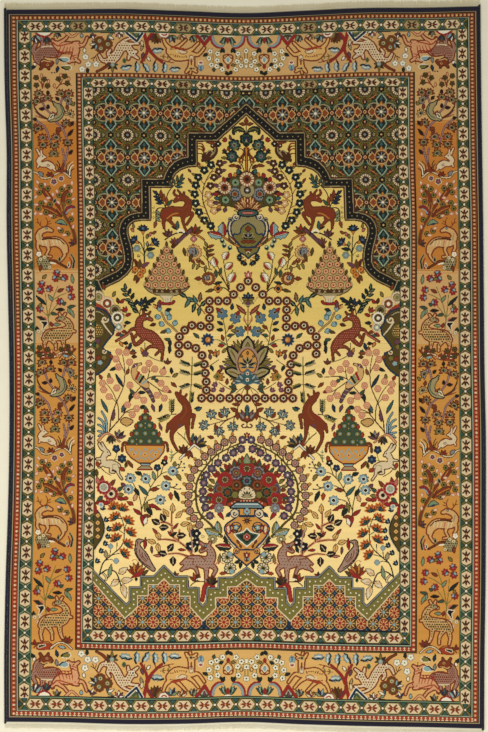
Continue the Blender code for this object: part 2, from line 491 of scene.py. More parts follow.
def bud(pen, long, wide, petal, edge="black", tip=None):
    pen.blob([(0, 0), (-wide / 2, -long * 0.5), (0, -long), (wide / 2, -long * 0.5)], petal, edge)
    if tip:
        pen.disc(0, -long * 0.8, wide * 0.22, tip)


def frond(pen, long, count, colour, leafLong, leafWide, stem):
    # a straight stem with pairs of leaves, smaller towards its tip, and one at the tip
    pen.stem([(0, -t) for t in np.linspace(0, long, 5)], stem, 0.9, 0.7)
    for k in range(int(count)):
        t = long * (0.22 + 0.7 * k / (count - 1))
        for side in (-1, 1):
            leaf(pen.at(0, -t, 1.0 - 0.25 * k / count, side * 48), leafLong, leafWide, colour)
    leaf(pen.at(0, -long, 0.9), leafLong, leafWide, colour)


def chartPlace(x, y):
    # where a point of the picture, in squares of the rug as seen from above, lies on the chart; each round of the
    # search comes closer
    wx = (x - view["rugMiddle"][0]) * view["squareSize"] - rug["middle"][0]
    wy = (view["rugMiddle"][1] - y) * view["squareSize"] - rug["middle"][1]
    across = along = 0.5
    for _ in range(6):
        gotX, gotY = onRug(across, along)
        across += float(wx - gotX) / rug["width"]
        along += float(wy - gotY) / rug["length"]
    inX, inY = insetShares(pile["rim"][0][0])
    return (((across - inX) / (1 - 2 * inX) - 0.5) * paper["wide"],
            paper["top"] + (1 - (along - inY) / (1 - 2 * inY)) * paper["high"])


class Sketch:
    # places things by where they are seen on the finished rug: rows moves them along it, and over turns them
    # upside down
    def __init__(self, chart, rows=None, over=False, scale=1.0):
        self.chart, self.rows, self.over, self.scale = chart, rows, over, scale

    def place(self, x, y):
        across, along = chartPlace(x, y)
        if self.rows:
            along = float(np.interp(along, *self.rows))
        return (0.0 if abs(across) < 1.1 else across), along

    def at(self, x, y, size=1.0, turn=0.0):
        return Pen(self.chart, *self.place(x, y), size * self.scale, 180 - turn if self.over else turn, self.over)

    def trail(self, points):
        return [(*self.place(p[0], p[1]), *p[2:]) for p in points]

    def middle(self, y):
        # a pen on the rug's middle line
        return Pen(self.chart, 0.0, chartPlace(247.0, y)[1])


def weave(sketch, drawing):
    # a drawing's rows each name a kind of shape and what it takes, then its places, with a comma between places;
    # from x y: and middle y: say where the places are counted from
    pen, start, region = sketch, (0.0, 0.0), None
    for row in drawing.strip().replace(",\n", ",").splitlines():
        head, tail = row.split(":")
        kind, *given = head.split()
        given = [word.split("/") if "/" in word else None if word in ("-", "none") else word if word[0].isalpha() else
                 float(word) for word in given]
        if kind in ("from", "middle"):
            pen, start = (sketch, given) if kind == "from" else (sketch.middle(given[0]), (0.0, 0.0))
            continue
        if kind == "fleck":
            Pen(sketch.chart).fleck(region, *given)
            continue
        groups = [[float(word) for word in group.split()] for group in tail.split(",")]
        step = 3 if kind == "limbs" else 2
        if kind in ("limbs", "stem", "line", "shape", "blob"):
            paths = [[(g[k] + start[0], g[k + 1] + start[1], *g[k + 2:k + step]) for k in range(0, len(g), step)]
                     for g in groups]
            brush = pen
            if pen is sketch:
                brush, paths = Pen(sketch.chart), [sketch.trail(path) for path in paths]
            for path in [paths] if kind == "limbs" else paths:
                region = getattr(brush, kind)(path, *given)
            continue
        for x, y, *rest in groups:
            turn, size = rest + [0.0, 1.0][len(rest):]
            if kind == "leaf":
                # its size is its length, and its outline follows from its colour
                edge = given[2:] or ["black" if given[0] in ("bottle", "teal", "deepBlue") else "brown"]
                leaf(pen.at(x + start[0], y + start[1], 1, turn), size, given[1], given[0], *edge)
                continue
            spot = pen.at(x + start[0], y + start[1], size, turn)
            if kind in ("disc", "oval", "petals"):
                getattr(spot, kind)(0, 0, *given)
            else:
                motifs[kind](spot, *given)


def walk(points, step, start=0.0):
    # even steps along a line of points: x, y and the way it runs, in degrees
    p = np.asarray(points, float)
    length = np.hypot(*(p[1:] - p[:-1]).T)
    total = np.concatenate([[0], length.cumsum()])
    count = max(1, round((total[-1] - 2 * start) / step))
    out = []
    for s in np.linspace(start, total[-1] - start, count + 1):
        k = min(np.searchsorted(total, s, "right") - 1, len(length) - 1)
        t = (s - total[k]) / max(length[k], 1e-9)
        dx, dy = p[k + 1] - p[k]
        out.append((*(p[k] + t * (p[k + 1] - p[k])), math.degrees(math.atan2(dy, dx))))
    return out


# the ground above the arch

def starCross(pen):
    # a round star flower held in a cross of lobes and trefoils
    for side in (-1, 1):
        pen.blob([(side * 5, -7.6), (side * 11, -7.2), (side * 14, -3.6), (side * 12.6, 0), (side * 14, 3.6),
                  (side * 11, 7.2), (side * 5, 7.6), (side * 7, 0)], "black", "khaki", 0.9)
        for tall in (-1, 1):
            pen.disc(side * 10.8, tall * 4.5, 1.3, "black", "khaki", 0.5)
            pen.blob([(side * 6.4, tall * 3), (side * 8.2, tall * 6.6), (side * 5, tall * 7)], "brown")
        pen.shape([(side * 5.4, 0), (side * 9.4, -3.9), (side * 13.0, 0), (side * 9.4, 3.9)], "rust", "tan", 0.7)
    for tall in (-1, 1):
        pen.shape([(-3.2, tall * 8), (-4.7, tall * 11.8), (0, tall * 17.8), (4.7, tall * 11.8), (3.2, tall * 8)],
                  "bottle", "paleGreen", 0.8)
        pen.shape([(0, tall * 16), (-1.7, tall * 12.4), (0, tall * 10.8), (1.7, tall * 12.4)], "teal", "black", 0.4)
        pen.line([(-3.6, tall * 7.4), (3.6, tall * 7.4)], "khaki", 2.0)
        pen.shape([(0, tall * 5.6), (-1.3, tall * 8.3), (0, tall * 11), (1.3, tall * 8.3)], "orange", "brown", 0.5)
    pen.disc(0, 0, 6.3, "hide", "tan", 0.6)
    pen.disc(0, 0, 5.4, "black")
    spokes(pen, 8, 1.6, 4.7, ("grey", "khaki"), 1.2)
    pen.disc(0, 0, 1.3, "ivory")


def spandrelDaisy(pen):
    for side in (-1, 1):
        for tall in (-1, 1):
            floret(pen.at(side * 8.4, tall * 8.2), 2.4, "brown", "rose", "black", 4)
            pen.line([(side * 5.0, tall * 9.6), (side * 11.4, tall * 5.4)], "orange", 0.7)
            pen.disc(side * 12.4, tall * 4.6, 1.0, "hide")
        tulip(pen.at(side * 10.6, 0, 1, -side * 90), 1.9, "khaki", "plum", "black", None)
        bud(pen.at(0, side * 9.0, 1, 0 if side < 0 else 180), 4.4, 3.0, "rust", "brown", None)
        pen.shape([(0, side * 9.6), (-2.8, side * 12.6), (0, side * 16.6), (2.8, side * 12.6)], "black")
        pen.shape([(0, side * 11), (-0.9, side * 12.8), (0, side * 14.2), (0.9, side * 12.8)], "peach")
    daisy(pen, 5.9, "cream", "brown", "black", 14, "bottle")
    pen.disc(0, 0, 1.3, "grey")


spandrel = {
    "pitch": (33.1, 45.1),
    "first": (-3.0, 113.4),  # beside the middle line, and down the chart
    "foot": 300,
}


def spandrelGround(chart):
    # daisies, star crosses and florets on an even grid, over mossy patches
    x0, y0, _ = bandBox("field", 0)
    chart.box(x0, 5, y0, spandrel["foot"], "bottle")
    pitchX, pitchY = spandrel["pitch"]
    startX, startY = spandrel["first"]
    crosses = [(startX - column * pitchX - pitchX, startY + row * pitchY)
               for row in range(-1, 5) for column in range(-1, 6)]
    for x, y in crosses:
        patch = Pen(chart, x + pitchX / 2, y - pitchY / 2)
        mossy = patch.blob([(-12, -6.4), (-6, -13.2), (0, -15.2), (6, -13.2), (12, -6.4), (13.4, 0), (12, 6.4),
                            (6, 13.2), (0, 15.2), (-6, 13.2), (-12, 6.4), (-13.4, 0)], "olive", "green", 1.5)
        patch.fleck(mossy, "moss", 2.2, 0.62, 0.8)
    for x, y in crosses:
        spandrelDaisy(Pen(chart, x + pitchX / 2, y - pitchY / 2))
        starCross(Pen(chart, x, y))
        floret(Pen(chart, x + pitchX / 2, y), 3.2, "brown", "black", "black", 6, "peach")
        floret(Pen(chart, x, y - pitchY / 2), 3.7, "black", "tan", "moss", 6)


def archBand(chart, sketch):
    # a dark band with light beads, from the top of the arch down to the field's side
    outer = sketch.trail([
        (246.0, 104.6), (213.4, 133.4), (188.4, 133.4), (188.3, 157.5), (181.8, 158.6), (174.7, 162.3),
        (169.6, 167.4), (166.0, 173.6), (164.0, 179.6), (142.2, 179.6), (142.3, 213.0), (136.2, 213.4),
        (130.2, 215.1), (124.8, 218.4), (121.5, 223.1), (119.9, 228.6), (120.0, 234.0), (121.6, 240.5),
        (123.7, 248.6), (124.8, 255.3), (124.8, 262.0), (122.4, 267.3), (116.8, 272.0), (106.7, 276.7),
        (96.0, 282.4), (84.0, 288.0)])
    inner = sketch.trail([
        (246.0, 112.6), (216.6, 139.8), (195.7, 139.8), (195.9, 164.9), (187.4, 165.6), (179.8, 168.5),
        (174.7, 172.6), (171.6, 177.7), (170.2, 186.0), (148.8, 186.0), (149.4, 219.0), (140.9, 218.9),
        (134.2, 219.9), (129.4, 223.1), (126.8, 227.4), (126.6, 233.0), (128.2, 239.2), (130.2, 245.4),
        (131.5, 252.0), (131.9, 259.6), (130.6, 267.6), (126.2, 273.4), (118.8, 279.4), (108.8, 284.1),
        (98.0, 289.6), (84.0, 296.0)])
    beads = [((ax + bx) / 2, (ay + by) / 2) for (ax, ay), (bx, by) in zip(outer, inner)]
    pen = Pen(chart)
    pen.shape([*inner, (-170, 330), (5, 330), (5, inner[0][1])], "fieldHigh")
    band = [*outer, *inner[::-1], (-inner[1][0], inner[1][1]), (-outer[1][0], outer[1][1])]
    pen.shape(band, None, "brown", 1.7)
    pen.shape(band, "black", "khaki", 0.6)
    for x, y, _ in walk(beads, 5.25):
        pen.disc(x, y, 0.62, "khaki")
    x0, y0, _ = bandBox("field", 0)
    pen.shape([(x0 - 9, 286), (x0 + 1.2, 281.4), (x0 + 6.6, 294), (x0 - 9, 300)], "bottle", "khaki", 0.7)


# the parapet at the foot of the field

def octagon(pen, r, lit):
    ring = [(r * math.cos(math.pi * (k + 0.5) / 4), r * math.sin(math.pi * (k + 0.5) / 4)) for k in range(8)]
    pen.shape(ring, "brick" if lit else "olive", "tan", 0.7)
    spokes(pen, 8, r * 0.34, r * 0.72, ["tan"], 1.0)
    spokes(pen, 8, r * 0.5, r * 0.84, ["brown"], 0.6, 0.5)
    pen.disc(0, 0, r * 0.27, "red" if lit else "skyBlue", None if lit else "brown", 0.4)


def crossStar(pen):
    pen.shape([(0, -2.8), (0.9, -0.9), (2.8, 0), (0.9, 0.9), (0, 2.8), (-0.9, 0.9), (-2.8, 0), (-0.9, -0.9)],
              "deepBlue", "black", 0.5)
    pen.disc(0, 0, 0.6, "blue")


walls = {
    "rows": (622.2, 610.3, 598.4, 586.6, 574.8),
    "groups": ((98.4, 10.6, -1, 2), (163.9, 10.7, -3, 3), (247.0, 11.6, -3, 0)),  # middle, pitch, first, last column
    "octagon": 5.7,
    "beadStep": 5.3,
}


def parapet(chart, sketch):
    # stepped walls of octagons, with a beaded coping
    x0, _, y1 = bandBox("field", 0)
    outer = sketch.trail([
        (80.0, 556.0), (92.6, 569.8), (126.2, 605.0), (129.9, 601.3), (129.9, 587.4), (140.8, 587.4),
        (140.8, 576.5), (153.6, 576.4), (164.2, 565.8), (174.8, 576.4), (187.7, 576.5), (187.7, 588.0),
        (198.9, 588.0), (199.0, 602.0), (202.6, 606.2), (206.6, 602.0), (207.2, 588.2), (218.7, 588.2),
        (218.7, 577.6), (232.4, 577.6), (247.4, 567.6)])
    inner = sketch.trail([
        (80.0, 567.0), (92.6, 581.2), (125.0, 618.6), (137.7, 606.5), (137.7, 595.6), (148.4, 595.6),
        (148.4, 584.8), (158.3, 584.6), (164.0, 578.6), (169.7, 584.6), (179.5, 584.8), (179.5, 596.2),
        (190.0, 596.2), (190.0, 606.8), (202.7, 621.0), (215.6, 608.0), (215.6, 597.6), (227.4, 597.6),
        (227.4, 586.8), (236.4, 586.8), (247.4, 579.0)])
    pen = Pen(chart)
    pen.shape([*outer, (5, outer[-1][1]), (5, y1), (-170, y1)], "moss")
    win, distance = pen.shape([*inner, (5, inner[-1][1]), (5, y1), (-170, y1)], "deepBlue", None)
    chart.inside = np.zeros(chart.knots.shape, bool)
    chart.inside[win] = distance < 0
    for middle, pitch, first, last in walls["groups"]:
        for k in range(first, last + 1):
            for j, y in enumerate(walls["rows"]):
                x = middle + k * pitch
                octagon(sketch.at(x, y), walls["octagon"], (k + j + (middle > 200)) % 2 == 1)
        for k in range(first, last + 2):
            for y in walls["rows"]:
                crossStar(sketch.at(middle + (k - 0.5) * pitch, y - 5.9))
                crossStar(sketch.at(middle + (k - 0.5) * pitch, y + 6.0))
    chart.inside = None
    pen.limbs([[(x, y, 0.55) for x, y in inner]], "cream", smooth=False)
    for colour, wide in (("black", 2.4), ("grey", 1.3)):
        pen.limbs([[(x, y, wide / 2) for x, y in outer]], colour, smooth=False)
    beads = sketch.trail([
        (88.0, 570.6), (126.0, 611.8), (133.8, 604.4), (133.8, 591.8), (144.6, 591.8), (144.6, 581.0), (156.0, 580.6),
        (164.0, 572.2), (172.0, 580.6), (183.5, 581.0), (183.6, 592.4), (194.5, 592.6), (194.6, 605.0),
        (202.7, 613.6), (211.0, 605.0), (211.2, 592.8), (223.0, 592.6), (223.0, 582.2), (234.4, 582.0),
        (247.2, 573.4)])
    for x, y, _ in walk(beads, walls["beadStep"], 2.0):
        pen.disc(x, y, 0.75, "ivory")


# the upper field

def iris(pen, petal="deepBlue"):
    # a funnel that opens in a spray of narrow petals
    pen.shape([(0, 0), (-2.4, -4.4), (2.4, -4.4)], "orange", "brown", 0.4)
    fan(pen, -4.0, (-72, -44, -16, 16, 44, 72), 5.4, 1.9, petal, "black")
    for turn in (-30, 0, 30):
        pen.line([(0, -4.6), (2.4 * math.sin(math.radians(turn)), -4.6 - 2.4 * math.cos(math.radians(turn)))],
                 "blue", 0.6)


def rayFlower(pen, r, petal, ring, heart, count, edge="brown"):
    pen.petals(0, 0, r, count, petal, edge, 0.16)
    pen.disc(0, 0, r * 0.58, ring, "brown", 0.4)
    pen.disc(0, 0, r * 0.28, heart)


def halfLeaf(pen, long, dark, light, edge, fat=0.25):
    # a leaf in two colours, toothed along one side
    wide = long * fat
    pen.shape([(0, 0), (-wide * 0.9, -long * 0.14), (-wide * 0.7, -long * 0.3), (-wide * 1.25, -long * 0.4),
               (-wide * 0.8, -long * 0.56), (-wide * 1.05, -long * 0.68), (-wide * 0.3, -long * 0.84),
               (wide * 0.5, -long), (wide * 0.1, -long * 0.5)], light, edge)
    pen.shape([(0, 0), (wide * 0.1, -long * 0.5), (wide * 0.5, -long), (wide * 1.05, -long * 0.7),
               (wide * 1.05, -long * 0.34), (wide * 0.6, -long * 0.1)], dark, edge)
    pen.line([(0, -long * 0.1), (wide * 0.15, -long * 0.5), (wide * 0.4, -long * 0.86)], "cream", 0.55)


def scroll(pen, r, light="cream"):
    # the curled end of a vase's handle
    pen.disc(0, 0, r, "deepBlue")
    pen.disc(0, 0, r * 0.78, light)
    spiral(pen, r * 0.5, "deepBlue", 1.1, 1.1)


def beadRose(pen, r, petal, edge, bead, heart):
    # a rose with a ring of beads round its heart
    pen.petals(0, 0, r, 9, petal, edge, 0.14)
    pen.disc(0, 0, r * 0.52, "brown")
    for k in range(9):
        a = 2 * math.pi * k / 9
        pen.disc(r * 0.37 * math.cos(a), r * 0.37 * math.sin(a), r * 0.1, bead)
    pen.disc(0, 0, r * 0.16, heart)


def tuft(pen, colours, long, spread=60):
    # a tuft of narrow leaves from one point
    count = len(colours)
    for k, colour in enumerate(colours):
        turn = -spread + 2 * spread * k / max(1, count - 1)
        leaf(pen.at(0, 0, 1.0 - 0.25 * abs(turn) / 90, turn), long, long * 0.34, colour, "brown")


def spiral(pen, r, colour, wide, turns=1.4):
    points = []
    for t in np.linspace(0.25, 1, int(10 * turns) + 4):
        a = 2 * math.pi * turns * (1 - t)
        points.append((r * t * math.cos(a), r * t * math.sin(a)))
    pen.stem(points, colour, wide)


def sheaf(pen):
    # a fan of fifteen narrow leaves in three colours by turns, the longest in the middle
    for k in range(15):
        colour, edge, vein = (("gold", "brown", "brown"), ("hide", "brown", "cream"), ("tan", "hide", "cream"))[k % 3]
        leaf(pen.at(0, 0, 1, 13 * k - 91), round(15 - 0.26 * abs(k - 7), 1), 3.6, colour, edge, vein)


def peachFruit(pen):
    pen.line([(0, -3.4), (0, -4.6)], "moss", 0.9)
    pen.disc(0, 0, 3.7, "fieldHigh", "khaki", 0.7)
    pen.disc(0, 0, 2.5, "peach", "hide", 0.7)
    pen.disc(0, 0, 0.9, "brown")


# the middle of the field

def chainLink(pen):
    fan(pen, 0, range(22, 382, 45), 5.5, 1.8, "rose")
    pen.petals(0, 0, 4.1, 8, "brown", "hide", 0.15)
    pen.petals(0, 0, 2.4, 8, "cream", "black", 0.28, 0, 0.4)
    pen.disc(0, 0, 1.2, "black")


def starLeaf(pen):
    points = []
    for k in range(14):
        reach, a = 5.2 if k % 2 == 0 else 5.2 * 0.56, math.pi * k / 7 - math.pi / 2
        points.append((reach * math.cos(a), reach * math.sin(a)))
    pen.shape(points, "grey", "bottle")
    fan(pen, 2.6, (-58, 0, 58), 5.72, 1.5, "skyBlue", "bottle")
    pen.line([(0, 2.6), (0, -2.08)], "cream", 0.7)


def blueBell(pen, tip="red"):
    pen.petals(0, 0, 5.1, 6, "blue", "teal", 0.36, 0.3, 0.8)
    pen.disc(0, -1.6, 1.1, "black", "khaki", 0.5)
    leaf(pen.at(-0.6, -3.4, 1, -14), 4.6, 3.0, tip, "brown")


def featherLeaf(pen, long=12.0, colour="moss"):
    for k in range(6):
        t = long * (0.1 + 0.14 * k)
        for side in (-1, 1):
            leaf(pen.at(0, -t, 1, side * 38), long * 0.36, 1.5, colour if side < 0 else "bottle")
    leaf(pen.at(0, -long * 0.7), long * 0.4, 1.8, colour)
    pen.line([(0, 0), (0, -long * 0.9)], "bottle", 0.7)


# the trees and animals of the lower field

def blossom(pen):
    pen.petals(0, 0, 3.0, 6, "peach", "rose", 0.14)
    pen.disc(0, 0.2, 1.3, "rose")
    pen.disc(0, 0, 0.7, "cream")


def greenFruit(pen):
    pen.petals(0, 0, 4.5, 8, "green", "olive", 0.14)
    pen.disc(0, 0, 2.3, "moss", "bottle", 0.4)
    pen.disc(0, 0, 1.0, "skyBlue")


def starBell(pen, side="gold"):
    fan(pen, 0, (60, 100, 140), 5.4, 2.2, side, "brown")
    pen.petals(0, 0, 4.6, 9, "skyBlue", "blue", 0.26)
    pen.disc(0.4, 0, 1.7, "black", "ivory", 0.5)


def mapleLeaf(pen):
    fan(pen, 1.6, (-80, -48, -16, 16, 48, 80), 6.6, 3.1, "brick", "orange")
    fan(pen, 2.6, (-60, 0, 60), 4.0, 1.9, "teal", "black")


# the lower vase and what stands round it

def wreathFlower(pen, petal, edge, ring, heart):
    pen.petals(0, 0, 3.4, 8, petal, edge, 0.24, 0, 0.9)
    pen.disc(0, 0, 1.6, ring)
    pen.disc(0, 0, 0.8, heart)


def lowerWreath(sketch):
    outer = [(232.7, 439.6), (224.6, 442.4), (217.6, 447.1), (211.2, 452.0), (204.7, 456.6), (198.6, 463.0),
             (194.2, 469.8), (190.9, 477.8), (189.3, 486.4), (188.3, 495.2), (188.3, 503.4), (189.8, 511.0),
             (193.9, 518.3), (199.3, 524.9)]
    inner = [(242.6, 439.8), (241.2, 449.0), (233.4, 452.8), (226.0, 457.8), (218.0, 463.0), (211.6, 468.4),
             (206.3, 475.0), (203.7, 482.8), (202.9, 491.4), (203.3, 499.5), (205.4, 507.6), (209.9, 515.6)]
    stem = [(222.0, 536.0), (209.4, 523.5), (199.2, 512.5), (195.9, 497.7), (197.4, 480.6), (205.2, 467.4),
            (215.4, 456.0), (228.6, 448.2), (240.0, 443.6)]
    pen = Pen(sketch.chart)
    pen.stem(sketch.trail(stem), "olive", 2.6, 1.5)
    trail = list(enumerate(smoothPath(stem)))
    for x, y in outer + inner:
        # each flower's stalk leaves the stem about nine squares nearer its root
        start = min(trail, key=lambda p: abs(math.hypot(p[1][0] - x, p[1][1] - y) - 9.5) + 0.02 * p[0])[1]
        stalk = [(start[0], start[1]), ((start[0] + x) / 2, (start[1] + y) / 2 + 0.8), (x, y)]
        pen.stem(sketch.trail(stalk), "olive", 1.5, 1.1)
    for k, (x, y) in enumerate(outer):
        turn = -4 - 7.5 * k
        bud(sketch.at(x, y, 1, turn).at(0, -3.0), 4.2, 2.2, "orange", "moss")
        wreathFlower(sketch.at(x, y), "dusk", "brown", "plum" if k % 2 else "brick", "peach")
    for k, (x, y) in enumerate(inner):
        wreathFlower(sketch.at(x, y), "plum", "deepBlue", "grey", "rose" if k % 3 else "ivory")
        if k > 1:
            leaf(sketch.at(x + 3.0, y + 1.0, 1, 100), 3.4, 1.4, "moss" if k % 2 else "orange")
    tulip(sketch.at(247.3, 437.0, 0.8), 3.0, "brick", "gold", "brown", None)
    for x, y, turn, long in ((220.4, 534.0, -19, 13.0), (219.6, 534.0, -76, 15.6)):
        halfLeaf(sketch.at(x, y, 1, turn), long, "moss", "skyBlue", "bottle", 0.21)
    halfLeaf(sketch.at(229.4, 545.0, 1, -20), 12.6, "red", "bottle", "brown")
    halfLeaf(sketch.at(231.0, 547.4, 1, -88), 15.4, "red", "bottle", "brown", 0.2)


def beadFlower(pen):
    pen.petals(0, 0, 5.3, 10, "cream", "bottle", 0.2, 0, 0.9)
    spokes(pen, 10, 2.4, 4.6, ["bottle"], 0.7, 0.5)
    pen.disc(0, 0, 2.6, "moss")
    pen.disc(0, 0, 1.5, "black")
    pen.petals(0, -3.5, 2.1, 5, "skyBlue", "grey", 0.2)


# the main border's trees and animals

def eyeFlower(pen, petal, heart="sage"):
    fan(pen, 0.8, (-112, -74, -36, 0, 36, 74, 112), 5.2, 2.0, petal, "brown")
    pen.oval(0, 0, 2.3, 1.6, "olive", "khaki", 0.5)
    pen.disc(0.5, 0.1, 1.0, "black")
    pen.disc(-0.9, -0.3, 0.6, heart)


def eyeRose(pen):
    pen.petals(0, 0, 4.4, 9, "olive", "hide", 0.14, 0, 1)
    pen.petals(0, 0, 2.6, 7, "moss", "hide")
    pen.disc(0, 0, 1, "green", "cream", 0.4)


def smallFloret(pen):
    pen.petals(0, 0, 2.4, 6, "moss", "brown", 0.2)
    pen.disc(0, 0, 1.0, "black")


def drop(pen):
    bud(pen, 3.8, 2.0, "cream", "rose")


def blueRose(pen):
    # a flower half red and half blue
    pen.petals(0, 0, 3.8, 7, "red", "hide", 0.34)
    pen.blob([(-0.4, 3.0), (-3.0, 1.6), (-2.6, -1.2), (-0.6, -2.4), (0.4, 0)], "deepBlue")
    pen.blob([(-0.8, 2.6), (-3.0, 1.2), (-2.8, -0.6), (-1.0, -0.4)], "skyBlue")
    pen.disc(0.6, -0.6, 0.7, "rose")


def whiteFlower(pen):
    pen.petals(0, 0, 2.9, 5, "ivory", "moss", 0.34, 0, 0.5)
    pen.disc(0, 0, 0.9, "olive")


def skyLeaf(pen):
    # a pale lobed leaf with a dark side
    pen.shape([(0, 5.4), (-1.6, 3.4), (-0.8, 2.0), (-2.2, 0.6), (-0.8, -1.0), (-2.0, -3.0), (0.6, -5.6), (1.4, -4.0),
               (3.2, -3.6), (2.6, -1.6), (4.0, 0), (2.6, 1.2), (3.2, 3.2), (1.2, 3.6)], "skyBlue", "grey", 0.5)
    pen.stem([(0, 5.8), (-1.2, 2.4), (-0.4, 0), (-1.2, -2.6), (0.6, -5.6)], "black", 1.8, 1.1)
    pen.stem([(1.0, 3.6), (1.7, 0), (1.2, -3.0)], "ivory", 0.7)


def layBorderMotifs(chart):
    x0, y0, y1 = bandBox("main", 0)
    x1, y2, y3 = bandBox("main", 1)
    x, y = chart.x[None, :], chart.y[:, None]
    chart.inside = (x > x0) & (y > y0) & (y < y1) & ~((x > x1) & (y > y2) & (y < y3))
    # the side's drawings are made twice: a place at the height of once goes to the height of again
    once = (70.0, 93.6, 111.2, 173.0, 228.5, 261.0, 275.5, 318.9, 334.8, 353.8, 358.0)
    again = (341.0, 362.6, 385.9, 448.6, 507.4, 539.3, 553.8, 603.3, 620.9, 644.7, 649.4)
    rows = tuple([chartPlace(55.0, place)[1] for place in row] for row in (once, again))
    for sketch in (Sketch(chart), Sketch(chart, rows)):
        for part in ("sideTree", "sideStag", "sideRoses"):
            weave(sketch, drawings[part])
    for sketch in (Sketch(chart), Sketch(chart, ((y3, y1), (y2, y0)), True, 0.9)):
        for part in ("borderLion", "borderLynx", "borderDoe"):
            weave(sketch, drawings[part])
    chart.inside = None


motifs = {made.__name__: made for made in (
    beadFlower, beadRose, scroll, blossom, blueBell, blueRose, bud, chainLink, daisy, drop,
    eyeFlower, eyeRose, featherLeaf, floret, frond, greenFruit, halfLeaf, iris, mapleLeaf, peachFruit,
    rayFlower, sheaf, skyLeaf, smallFloret, spiral, starBell, starLeaf, tuft, tulip, whiteFlower)}


# the drawings: each line is a kind of shape and what it takes, then its places; from and middle move the origin

